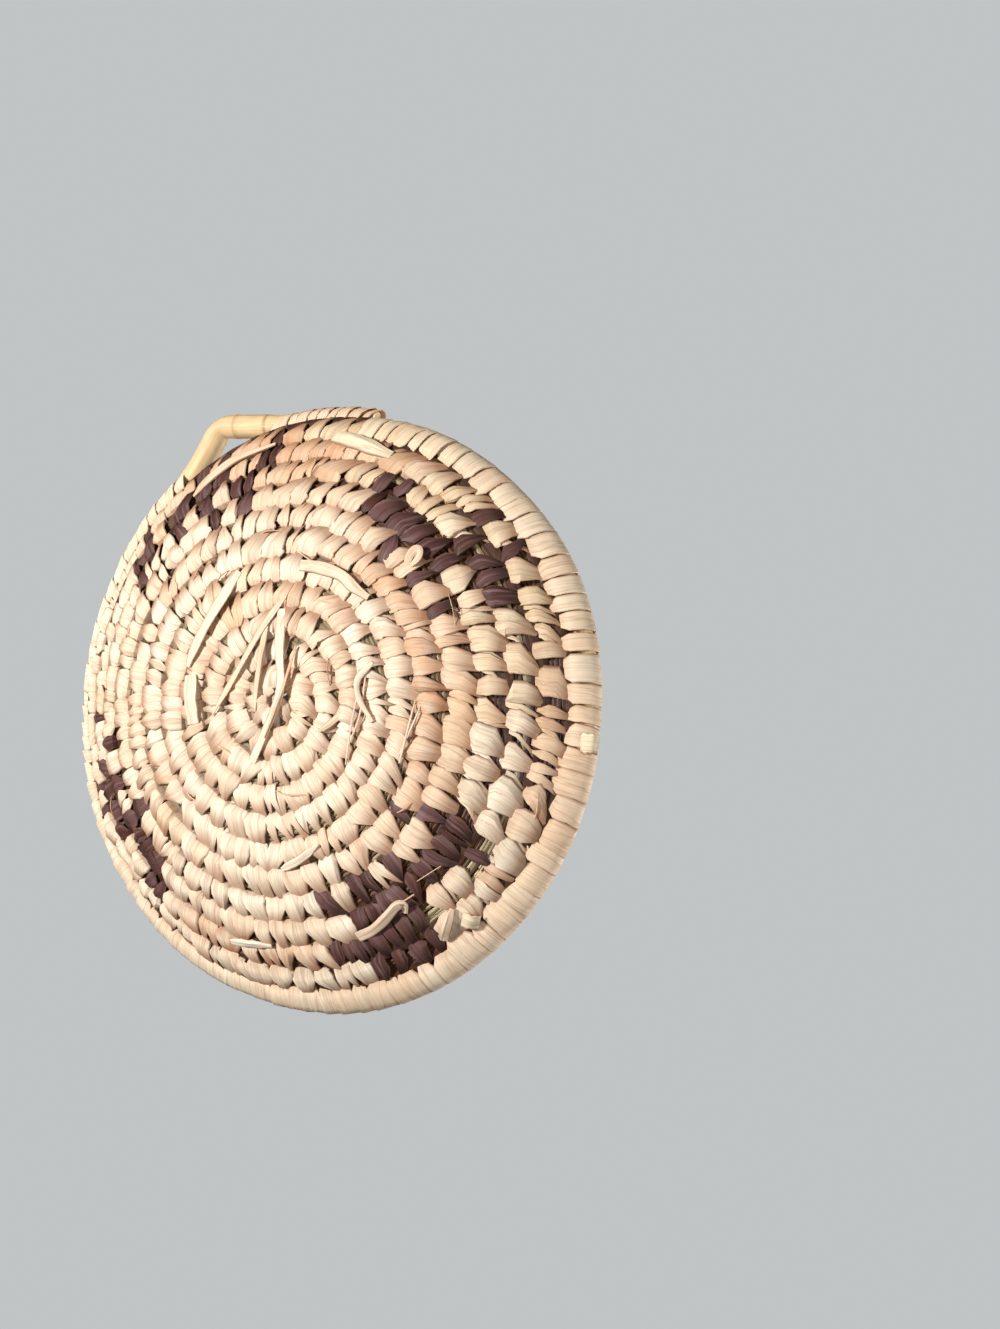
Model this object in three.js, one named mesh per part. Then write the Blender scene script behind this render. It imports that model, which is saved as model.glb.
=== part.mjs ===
// Coiled basket: a shallow sewn bowl with a hanging loop at its rim.
// Millimetres, +Z up. The origin is the middle of the base on the table plane,
// and +Y points through the hanging loop.
//
// A grass bundle is laid in one unbroken spiral. A thin top strand runs along
// the outer side of every row. Flat splints wrap the bundle and hook under the
// top strand of the row inside it, which is what holds the rows together.
// The last row has a reed as its core, and the reed rises clear of the rim in
// one place to make the loop.

import * as THREE from "three";

// Driving dimensions of the coil
const BUNDLE_WIDTH = 3.0; // foundation bundle, measured along the wall
const BUNDLE_HEIGHT = 4.6; // foundation bundle, measured through the wall
const STRAND_WIDTH = 1.4; // top strand, measured along the wall
const STRAND_HEIGHT = 1.0; // top strand, measured through the wall
const SPLINT_THICKNESS = 0.3;
const HOOK_CLEARANCE = 0.28; // beside a splint where it passes between two rows
const FACE_CLEARANCE = 0.35; // under a splint on the two faces of a row
const COIL_START_RADIUS = 4.6; // middle of the bundle where the coil begins
const REED_DIAMETER = 4.8;

// Driving dimensions of the bowl
const BASE_FLAT_RADIUS = 22;
const WALL_CURVE_RADIUS = 78; // radius of the arc that the wall rises on
const KNOT_BEVEL = 0.5;
const KNOT_TURNS = 0.92; // the knot stops short of the row that closes on it

// Driving dimensions of the hanging loop, with angles counted from +X
const LOOP_REACH = 9.8; // from the middle of the rim row to the corner where the two legs would meet
const LOOP_FIRST_FOOT_ANGLE = 75;
const LOOP_CREST_ANGLE = 85.5;
const LOOP_LAST_FOOT_ANGLE = 98;
const LOOP_CREST_BEND = 5; // how far the rounded crest reaches down each leg
const LOOP_FOOT_BEND = 4; // how far the rounded foot reaches along the row

// Counts of the coil and of its sewing
const STEPS_PER_TURN = 24;
const BUNDLE_TURNS = 10 + 7 / 12;
const REED_TURNS = 1;
const COIL_START_ANGLE = -90;
const FIRST_STITCHES_PER_TURN = 6;
const DOUBLING_TURNS = [2, 5]; // where each row takes twice the stitches
const FIRST_STITCH_TURN = 0.15;
const LONGEST_RUN = 12; // stitches that one splint makes
const LONGEST_RIM_RUN = 7;
const MOTIF_STARTS = [4, 10, 15, 22]; // first stitch of each dyed motif, of 24 in a turn
const MOTIF_ROWS = [
  [1, 1], // row inside the rim: first and last dyed stitch of the motif
  [0, 1],
  [0, 2],
  [2, 2],
];

// Shares of a stitch
const HOOK_WIDTH_SHARE = 0.24; // splint width where it dives between rows, of the stitch spacing
const FACE_WIDTH_SHARE = 0.46; // splint width on the face of a row, of the stitch spacing
const FOOT_ADVANCE = 0.08; // of one stitch, made between the hook and the shoulder
const MITRE_GROWTH = 1.5; // thickness of a folded splint at its hook

// Colours
const STRAW = 0xdcc19a;
const DYED = 0x4c3838;
const CANE = 0xe6cb86;
const GRASS = 0xb7a178;
const STRAND_GREEN = 0xc9bd84;

const TAU = Math.PI * 2;
const ROUNDING = 1e-6; // keeps a stitch that ends exactly on a limit
const OCTAGON_SIDE = Math.tan(Math.PI / 8);

// Worked-out sizes of one row, as positions along the wall from the bundle's middle
const SLIT = SPLINT_THICKNESS * MITRE_GROWTH + 2 * HOOK_CLEARANCE;
const ROW_PITCH = BUNDLE_WIDTH + STRAND_WIDTH + 2 * SLIT;
const STRAND_OFFSET = ROW_PITCH / 2;
const SHOULDER = BUNDLE_WIDTH / 2;
const HOOK_REACH = ROW_PITCH - BUNDLE_WIDTH / 2 - SLIT / 2;
const FACE_HEIGHT = BUNDLE_HEIGHT / 2 + FACE_CLEARANCE + SPLINT_THICKNESS / 2;
const WALL_MIDDLE = FACE_HEIGHT + SPLINT_THICKNESS / 2; // height of the wall's middle at the base
const REED_RADIUS = REED_DIAMETER / 2;
const REED_OFFSET = REED_RADIUS - BUNDLE_WIDTH / 2;
const COIL_TURNS = BUNDLE_TURNS + REED_TURNS;
const SPOKE_PHASE = 0.25; // of a step, so that no hook stands on a corner of the coil

// Places on the bowl

/** Distance along the wall, from the axis to the bundle's middle, after so many turns. */
function rowDistance(turn) {
  return COIL_START_RADIUS + ROW_PITCH * turn;
}

/** Radius of the wall's middle at a distance along the wall. */
function wallRadius(distance) {
  const rise = Math.max(0, distance - BASE_FLAT_RADIUS) / WALL_CURVE_RADIUS;
  return Math.min(distance, BASE_FLAT_RADIUS) + WALL_CURVE_RADIUS * Math.sin(rise);
}

/** Slope of the wall at a distance along it, in radians. */
function wallSlope(distance) {
  return Math.max(0, distance - BASE_FLAT_RADIUS) / WALL_CURVE_RADIUS;
}

/** Angle round the axis after so many turns, in radians. */
function turnAngle(turn) {
  return TAU * turn + THREE.MathUtils.degToRad(COIL_START_ANGLE);
}

/** Number of turns at which the last row reaches an angle from +X, in degrees. */
function lastTurnAt(degrees) {
  const start = (degrees - COIL_START_ANGLE) / 360;
  return start + Math.floor(COIL_TURNS - start);
}

/** A point at a distance along the wall and a depth through it, inside being positive. */
function wallPoint(distance, turn, depth) {
  const slope = wallSlope(distance);
  const angle = turnAngle(turn);
  const radius = wallRadius(distance) - depth * Math.sin(slope);
  const rise = WALL_CURVE_RADIUS * (1 - Math.cos(slope));
  const height = WALL_MIDDLE + rise + depth * Math.cos(slope);
  return new THREE.Vector3(radius * Math.cos(angle), radius * Math.sin(angle), height);
}

/** Turn of the spoke with this number: every piece of the coil has its corners on the spokes. */
function spokeTurn(index) {
  return (index + SPOKE_PHASE) / STEPS_PER_TURN;
}

/** A point beside the coil, on the straight between the two spokes that it lies between. */
function coilPoint(turn, across, depth) {
  const steps = turn * STEPS_PER_TURN - SPOKE_PHASE;
  const index = Math.floor(steps);
  const before = spokeTurn(index);
  const after = spokeTurn(index + 1);
  const start = wallPoint(rowDistance(before) + across, before, depth);
  const end = wallPoint(rowDistance(after) + across, after, depth);
  return start.lerp(end, steps - index);
}

// Solids

/** Volume enclosed by triangles, negative where they face inwards. */
function signedVolume(points, triangles) {
  let volume = 0;
  for (const [a, b, c] of triangles) {
    volume += points[a].dot(new THREE.Vector3().crossVectors(points[b], points[c])) / 6;
  }
  return volume;
}

/** A closed solid through a row of rings that all have the same number of points. */
function loft(rings) {
  const sides = rings[0].length;
  const points = rings.flat();
  const triangles = [];
  for (let ring = 0; ring + 1 < rings.length; ring += 1) {
    for (let side = 0; side < sides; side += 1) {
      const a = ring * sides + side;
      const b = ring * sides + ((side + 1) % sides);
      triangles.push([a, b, b + sides], [a, b + sides, a + sides]);
    }
  }
  const last = points.length - sides;
  for (let side = 1; side + 1 < sides; side += 1) {
    triangles.push([0, side + 1, side], [last, last + side, last + side + 1]);
  }
  if (signedVolume(points, triangles) < 0) {
    triangles.forEach((triangle) => triangle.reverse());
  }
  const geometry = new THREE.BufferGeometry();
  geometry.setFromPoints(points);
  geometry.setIndex(triangles.flat());
  geometry.computeVertexNormals();
  return geometry;
}

/** A named mesh with a material of its own. */
function piece(name, geometry, colour, roughness) {
  const material = new THREE.MeshStandardMaterial({ color: colour, roughness, metalness: 0 });
  const mesh = new THREE.Mesh(geometry, material);
  mesh.name = name;
  return mesh;
}

// Foundation

/** Rings of a section that follows the coil between two spokes. */
function coilRings(section, firstSpoke, lastSpoke) {
  const rings = [];
  for (let index = firstSpoke; index <= lastSpoke; index += 1) {
    const turn = spokeTurn(index);
    rings.push(section.map(([across, depth]) => coilPoint(turn, across, depth)));
  }
  return rings;
}

/** Section of the bundle: six sides, flat where the splints lie on it. */
function bundleSection() {
  const side = BUNDLE_WIDTH / 2;
  const top = BUNDLE_HEIGHT / 2;
  return [
    [-side, 0],
    [-side / 2, -top],
    [side / 2, -top],
    [side, 0],
    [side / 2, top],
    [-side / 2, top],
  ];
}

/** Section of the top strand, which lies on the outer side of its row. */
function strandSection() {
  const side = STRAND_WIDTH / 2;
  const top = STRAND_HEIGHT / 2;
  return [
    [STRAND_OFFSET - side, 0],
    [STRAND_OFFSET, -top],
    [STRAND_OFFSET + side, 0],
    [STRAND_OFFSET, top],
  ];
}

/** The spiral heart of the base, which the first turn of the coil is wound on. */
function startingKnot() {
  const outline = [];
  for (let step = 0; step <= STEPS_PER_TURN; step += 1) {
    const turn = (KNOT_TURNS * step) / STEPS_PER_TURN;
    const radius = rowDistance(turn) - BUNDLE_WIDTH / 2 - SLIT;
    const angle = turnAngle(turn);
    outline.push(new THREE.Vector2(radius * Math.cos(angle), radius * Math.sin(angle)));
  }
  const geometry = new THREE.ExtrudeGeometry(new THREE.Shape(outline), {
    depth: 2 * WALL_MIDDLE - 2 * KNOT_BEVEL,
    bevelThickness: KNOT_BEVEL,
    bevelSize: KNOT_BEVEL,
    bevelOffset: -KNOT_BEVEL,
    bevelSegments: 1,
  });
  geometry.translate(0, 0, KNOT_BEVEL);
  return geometry;
}

// Rim reed and hanging loop

/** Middle of the reed on the rim row. */
function reedMiddle(turn) {
  return coilPoint(turn, REED_OFFSET, 0);
}

/** Turn at which the reed begins to bend away from the rim row. */
function leaveTurn() {
  return lastTurnAt(LOOP_FIRST_FOOT_ANGLE) - footTurns();
}

/** Turn at which the reed lies on the rim row again. */
function landTurn() {
  return lastTurnAt(LOOP_LAST_FOOT_ANGLE) + footTurns();
}

/** Length of a rounded foot, as a share of the last turn. */
function footTurns() {
  return LOOP_FOOT_BEND / (TAU * wallRadius(rowDistance(COIL_TURNS)));
}

/** Path of the reed where it leaves the rim: two straight legs with a rounded crest and feet. */
function loopPath() {
  const firstFoot = reedMiddle(lastTurnAt(LOOP_FIRST_FOOT_ANGLE));
  const lastFoot = reedMiddle(lastTurnAt(LOOP_LAST_FOOT_ANGLE));
  const crest = reedMiddle(lastTurnAt(LOOP_CREST_ANGLE));
  const outward = new THREE.Vector3(crest.x, crest.y, 0).normalize();
  crest.addScaledVector(outward, LOOP_REACH);
  const along = (from, to, length) => from.clone().add(to.clone().sub(from).setLength(length));
  const path = new THREE.CurvePath();
  const start = reedMiddle(leaveTurn());
  const end = reedMiddle(landTurn());
  const legStart = along(firstFoot, crest, LOOP_FOOT_BEND);
  const legEnd = along(lastFoot, crest, LOOP_FOOT_BEND);
  const crestStart = along(crest, firstFoot, LOOP_CREST_BEND);
  const crestEnd = along(crest, lastFoot, LOOP_CREST_BEND);
  path.add(new THREE.QuadraticBezierCurve3(start, firstFoot, legStart));
  path.add(new THREE.LineCurve3(legStart, crestStart));
  path.add(new THREE.QuadraticBezierCurve3(crestStart, crest, crestEnd));
  path.add(new THREE.LineCurve3(crestEnd, legEnd));
  path.add(new THREE.QuadraticBezierCurve3(legEnd, lastFoot, end));
  return path;
}

/** Section of the reed, eight-sided, as offsets across the wall and through it. */
function reedSection() {
  const corner = REED_RADIUS * OCTAGON_SIDE;
  return [
    [-REED_RADIUS, -corner],
    [-corner, -REED_RADIUS],
    [corner, -REED_RADIUS],
    [REED_RADIUS, -corner],
    [REED_RADIUS, corner],
    [corner, REED_RADIUS],
    [-corner, REED_RADIUS],
    [-REED_RADIUS, corner],
  ];
}

/** Rings of the reed on the free loop, turned with its path and tilted like the rim. */
function loopRings() {
  const path = loopPath();
  const slope = wallSlope(rowDistance(COIL_TURNS));
  const up = new THREE.Vector3(0, 0, 1);
  const rings = [];
  const bendSteps = 4;
  for (const curve of path.curves) {
    const steps = curve.isLineCurve3 ? 1 : bendSteps;
    for (let step = curve.isLineCurve3 ? 1 : 0; step < steps; step += 1) {
      const middle = curve.getPoint(step / steps);
      const outward = curve.getTangent(step / steps).cross(up).normalize();
      const across = outward.clone().multiplyScalar(Math.cos(slope)).addScaledVector(up, Math.sin(slope));
      const through = up.clone().multiplyScalar(Math.cos(slope)).addScaledVector(outward, -Math.sin(slope));
      const at = ([a, d]) => middle.clone().addScaledVector(across, a).addScaledVector(through, d);
      rings.push(reedSection().map(at));
    }
  }
  return rings;
}

/** The cane reed: core of the last row, with the hanging loop bent out of it. */
function rimReed(firstSpoke, lastSpoke) {
  const section = reedSection().map(([across, depth]) => [across + REED_OFFSET, depth]);
  const before = Math.floor(leaveTurn() * STEPS_PER_TURN - SPOKE_PHASE);
  const after = Math.ceil(landTurn() * STEPS_PER_TURN - SPOKE_PHASE);
  const rings = [
    ...coilRings(section, firstSpoke, before),
    ...loopRings(),
    ...coilRings(section, after, lastSpoke),
  ];
  const spliceGap = HOOK_CLEARANCE / (TAU * wallRadius(rowDistance(BUNDLE_TURNS)));
  const splice = spokeTurn(firstSpoke) + spliceGap;
  rings[0] = section.map(([across, depth]) => coilPoint(splice, across, depth));
  return loft(rings);
}

// Sewing

/** Corners of one stitch round its row: across the wall, through it, and the share of its advance. */
function stitchLoop(innerReach) {
  return [
    { across: -innerReach, depth: 0, advance: 0 },
    { across: -SHOULDER, depth: -FACE_HEIGHT, advance: FOOT_ADVANCE },
    { across: SHOULDER, depth: -FACE_HEIGHT, advance: 0.5 - FOOT_ADVANCE },
    { across: HOOK_REACH, depth: 0, advance: 0.5 },
    { across: SHOULDER, depth: FACE_HEIGHT, advance: 0.5 + FOOT_ADVANCE },
    { across: -SHOULDER, depth: FACE_HEIGHT, advance: 1 - FOOT_ADVANCE },
  ];
}

/** Corners of one stitch round the reed of the rim. */
function rimLoop() {
  const face = REED_RADIUS + FACE_CLEARANCE + SPLINT_THICKNESS / 2;
  const corner = face * OCTAGON_SIDE;
  return [
    { across: -HOOK_REACH, depth: 0, advance: 0 },
    { across: -SHOULDER, depth: -face, advance: FOOT_ADVANCE },
    { across: REED_OFFSET + corner, depth: -face, advance: 0.5 - 2 * FOOT_ADVANCE },
    { across: REED_OFFSET + face, depth: -corner, advance: 0.5 - FOOT_ADVANCE },
    { across: REED_OFFSET + face, depth: corner, advance: 0.5 + FOOT_ADVANCE },
    { across: REED_OFFSET + corner, depth: face, advance: 0.5 + 2 * FOOT_ADVANCE },
    { across: -SHOULDER, depth: face, advance: 1 - FOOT_ADVANCE },
  ];
}

/** Offset from a corner of a loop to the splint's outer face there. */
function mitre(loop, index) {
  const before = loop[(index + loop.length - 1) % loop.length];
  const here = loop[index];
  const after = loop[(index + 1) % loop.length];
  const normal = (from, to) =>
    new THREE.Vector2(to.depth - from.depth, from.across - to.across).normalize();
  const first = normal(before, here);
  const bisector = first.clone().add(normal(here, after)).normalize();
  return bisector.multiplyScalar(-SPLINT_THICKNESS / 2 / bisector.dot(first));
}

/** Bands of the sewing, each with twice the stitches of the one inside it. */
function sewingBands() {
  const starts = [FIRST_STITCH_TURN, ...DOUBLING_TURNS, spokeTurn(bundleLastSpoke)];
  const ends = [...starts.slice(1), spokeTurn(reedLastSpoke)];
  let perTurn = FIRST_STITCHES_PER_TURN;
  let phase = 1 / 8 / FIRST_STITCHES_PER_TURN;
  return starts.map((start, band) => {
    const entry = { start, end: ends[band], perTurn, phase };
    // A wider band turns outwards half a stitch past its hooks; the next hooks stand beside that
    phase += 0.75 / perTurn;
    perTurn *= 2;
    return entry;
  });
}

/** True where a stitch belongs to one of the dyed motifs. */
function isDyed(turn) {
  const motifStep = Math.floor(turn * STEPS_PER_TURN + ROUNDING);
  return MOTIF_STARTS.some((start) => {
    const outerTurn = Math.floor(BUNDLE_TURNS - (start + 2) / STEPS_PER_TURN);
    return MOTIF_ROWS.some(([first, last], row) => {
      const rowStart = (outerTurn - row) * STEPS_PER_TURN + start;
      return motifStep >= rowStart + first && motifStep <= rowStart + last;
    });
  });
}

/** Every stitch of the basket in order, from the middle to the end of the coil. */
function allStitches() {
  const bands = sewingBands();
  const stitches = [];
  bands.forEach((band, number) => {
    const onRim = number === bands.length - 1;
    const step = 1 / band.perTurn;
    const first = Math.ceil((band.start - band.phase) * band.perTurn);
    const count = Math.floor((band.end - band.phase) * band.perTurn + ROUNDING) - first;
    for (let stitch = 0; stitch < count; stitch += 1) {
      const turn = band.phase + (first + stitch) * step;
      const onLoop = turn + step > leaveTurn() && turn < landTurn();
      if (onRim && onLoop) {
        continue;
      }
      const above = turn + step + 1;
      const nextBand = bands.find((other) => above >= other.start && above < other.end);
      const outerStep = nextBand ? 1 / nextBand.perTurn : step;
      const sewn = isDyed(turn) ? "dyed" : "natural";
      const kind = onRim ? "rim" : sewn;
      stitches.push({ turn, step, outerStep: Math.min(step, outerStep), kind, number });
    }
  });
  return stitches;
}

/** Stitches gathered into the splints that make them. */
function splintRuns(stitches) {
  const runs = [];
  for (const stitch of stitches) {
    const run = runs.at(-1);
    const before = run?.at(-1);
    const longest = stitch.kind === "rim" ? LONGEST_RIM_RUN : LONGEST_RUN;
    const follows =
      before &&
      before.kind === stitch.kind &&
      before.number === stitch.number &&
      stitch.turn - before.turn < 1.5 * stitch.step &&
      run.length < longest;
    if (follows) {
      run.push(stitch);
    } else {
      runs.push([stitch]);
    }
  }
  return runs;
}

/** Rings of one splint through its stitches. */
function splintRings(run) {
  const rings = [];
  for (const stitch of run) {
    const firstRow = stitch.turn < 1;
    const innerReach = firstRow ? BUNDLE_WIDTH / 2 + SLIT / 2 : HOOK_REACH;
    const loop = stitch.kind === "rim" ? rimLoop() : stitchLoop(innerReach);
    loop.forEach((corner, index) => {
      const turn = stitch.turn + corner.advance * stitch.step;
      const share = corner.depth === 0 ? HOOK_WIDTH_SHARE : FACE_WIDTH_SHARE;
      const half = (share * (corner.across < 0 ? stitch.step : stitch.outerStep)) / 2;
      const offset = mitre(loop, index);
      const at = (side, face) =>
        coilPoint(turn + side * half, corner.across + face * offset.x, corner.depth + face * offset.y);
      rings.push([at(-1, -1), at(1, -1), at(1, 1), at(-1, 1)]);
    });
  }
  return rings;
}

/** Least distance between the points of rings that lie a whole turn apart. */
function leastGap(rings, ringsPerTurn) {
  let least = Infinity;
  for (let ring = 0; ring + ringsPerTurn < rings.length; ring += 1) {
    for (const here of rings[ring]) {
      for (const there of rings[ring + ringsPerTurn]) {
        least = Math.min(least, here.distanceTo(there));
      }
    }
  }
  return least;
}

// Assembly

const bundleLastSpoke = Math.round(BUNDLE_TURNS * STEPS_PER_TURN);
const reedLastSpoke = Math.round(COIL_TURNS * STEPS_PER_TURN);
const basket = new THREE.Group();

const bundleRings = coilRings(bundleSection(), 0, bundleLastSpoke);
const strandRings = coilRings(strandSection(), 0, bundleLastSpoke);
basket.add(piece("starting_knot", startingKnot(), STRAW, 0.8));
basket.add(piece("foundation_bundle", loft(bundleRings), GRASS, 0.9));
basket.add(piece("top_strand", loft(strandRings), STRAND_GREEN, 0.85));
basket.add(piece("rim_reed", rimReed(bundleLastSpoke, reedLastSpoke), CANE, 0.45));

const splintColours = { natural: STRAW, dyed: DYED, rim: CANE };
const splintCounts = { natural: 0, dyed: 0, rim: 0 };
for (const run of splintRuns(allStitches())) {
  const kind = run[0].kind;
  splintCounts[kind] += 1;
  const number = String(splintCounts[kind]).padStart(2, "0");
  const name = kind === "rim" ? `rim_splint_${number}` : `${kind}_splint_${number}`;
  basket.add(piece(name, loft(splintRings(run)), splintColours[kind], 0.75));
}

console.log(`bundle: least gap between turns ${leastGap(bundleRings, STEPS_PER_TURN).toFixed(2)} mm`);
console.log(`strand: least gap between turns ${leastGap(strandRings, STEPS_PER_TURN).toFixed(2)} mm`);

export default basket;
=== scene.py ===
"""Looks of a coiled basket: leaf sewing over grass rows, a cane rim and a hanging loop.

Every length is in millimetres until a mesh is written, and the frame is the CAD frame:
+Z up through the open side, +Y through the hanging loop, the origin under the base.
"""

import logging
import math
from dataclasses import dataclass, field
from enum import Enum
from typing import ClassVar, Sequence

import bpy
import numpy as np
from mathutils import Matrix, Vector


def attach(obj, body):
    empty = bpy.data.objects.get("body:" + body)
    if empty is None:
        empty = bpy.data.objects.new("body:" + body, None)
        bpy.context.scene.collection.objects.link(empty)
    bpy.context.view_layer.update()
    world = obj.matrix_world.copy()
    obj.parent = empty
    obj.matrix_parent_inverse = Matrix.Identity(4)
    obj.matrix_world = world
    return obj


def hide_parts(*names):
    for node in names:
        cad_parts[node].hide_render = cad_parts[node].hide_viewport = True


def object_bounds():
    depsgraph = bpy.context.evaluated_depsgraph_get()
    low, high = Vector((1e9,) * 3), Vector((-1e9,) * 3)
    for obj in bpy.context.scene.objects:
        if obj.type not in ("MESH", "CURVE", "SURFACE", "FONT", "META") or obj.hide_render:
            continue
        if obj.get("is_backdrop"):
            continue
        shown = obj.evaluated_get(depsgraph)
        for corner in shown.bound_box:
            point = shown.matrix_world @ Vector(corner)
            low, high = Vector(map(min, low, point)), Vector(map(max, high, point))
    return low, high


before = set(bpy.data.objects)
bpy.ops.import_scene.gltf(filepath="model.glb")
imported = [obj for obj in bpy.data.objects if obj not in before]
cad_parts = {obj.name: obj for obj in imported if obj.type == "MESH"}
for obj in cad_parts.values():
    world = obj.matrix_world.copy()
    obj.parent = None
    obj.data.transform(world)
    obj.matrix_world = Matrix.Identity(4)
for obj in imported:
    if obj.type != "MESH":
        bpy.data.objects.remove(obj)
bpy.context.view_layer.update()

MM = 0.001
TAU = 2.0 * math.pi
FULL_TURN = 360.0
SMALL = 1e-6
SEED = 2741
BODY = "root"
STRIP_MAP = "strip"
TONE = "tone"
STAIN_AND_SHADE = "stain_and_shade"

log = logging.getLogger("coiled_basket")
random = np.random.default_rng(SEED)

Array = np.ndarray
Number = float | np.ndarray
Span = tuple[float, float]
Triple = tuple[float, float, float]
Colour = tuple[int, int, int]

# Curve of a screen colour: a straight foot, then a power
SCREEN_FULL = 255.0
SCREEN_FOOT = 0.04045
SCREEN_FOOT_SLOPE = 12.92
SCREEN_OFFSET = 0.055
SCREEN_POWER = 2.4


def linear(red: int, green: int, blue: int) -> tuple[float, float, float, float]:
    """Turn a screen colour into the linear colour that a socket takes.

    Args:
        red: Red from 0 to 255.
        green: Green from 0 to 255.
        blue: Blue from 0 to 255.

    Returns:
        Linear red, green, blue and a full alpha.
    """
    result = []
    for value in (red, green, blue):
        share = value / SCREEN_FULL
        curve = ((share + SCREEN_OFFSET) / (1.0 + SCREEN_OFFSET)) ** SCREEN_POWER
        result.append(share / SCREEN_FOOT_SLOPE if share <= SCREEN_FOOT else curve)
    return (*result, 1.0)


def unit(vectors: Array) -> Array:
    """Give vectors a length of one."""
    return vectors / np.linalg.norm(vectors, axis=-1, keepdims=True)


def ease(share: Number) -> Number:
    """Smooth step from 0 to 1."""
    held = np.clip(share, 0.0, 1.0)
    return held * held * (3.0 - 2.0 * held)


def bell(away: Number, half: float) -> Number:
    """Bell curve round a middle: 1 there, and 0.37 at its half width."""
    return np.exp(-((away / half) ** 2))


def short_way(degrees: Number) -> Number:
    """The same angle between -180 and 180 degrees."""
    return (degrees + 0.5 * FULL_TURN) % FULL_TURN - 0.5 * FULL_TURN


def chance(share: float) -> bool:
    """Draw whether something that happens so often happens here."""
    return random.random() < share


def between(low: float, high: float) -> float:
    """Draw a number between two others."""
    return float(random.uniform(low, high))


def follow(place: float, marks: Sequence[Span]) -> float:
    """Value at a place between marks, each of them a place and its value."""
    places, values = zip(*marks)
    return float(np.interp(place, places, values))


def lengths(line: Array) -> Array:
    """Length of a line up to each of its points."""
    return np.concatenate([[0.0], np.cumsum(np.linalg.norm(np.diff(line, axis=0), axis=1))])


def flowing_line(marks: Array, count: int) -> Array:
    """Run a smooth line through marks, as a Catmull-Rom spline.

    Args:
        marks: Points that the line passes through.
        count: Number of points to return.

    Returns:
        Points along the line.
    """
    padded = np.concatenate([[2.0 * marks[0] - marks[1]], marks, [2.0 * marks[-1] - marks[-2]]])
    places = np.linspace(0.0, len(marks) - 1.0, count)
    cell = np.minimum(places.astype(int), len(marks) - 2)
    share = (places - cell)[:, None]
    before, start, end, after = (padded[cell + step] for step in range(4))
    line = 2.0 * start + (end - before) * share
    line = line + (2.0 * before - 5.0 * start + 4.0 * end - after) * share**2
    line = line + (3.0 * start - before - 3.0 * end + after) * share**3
    return 0.5 * line


# The bowl and the coil on it


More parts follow.
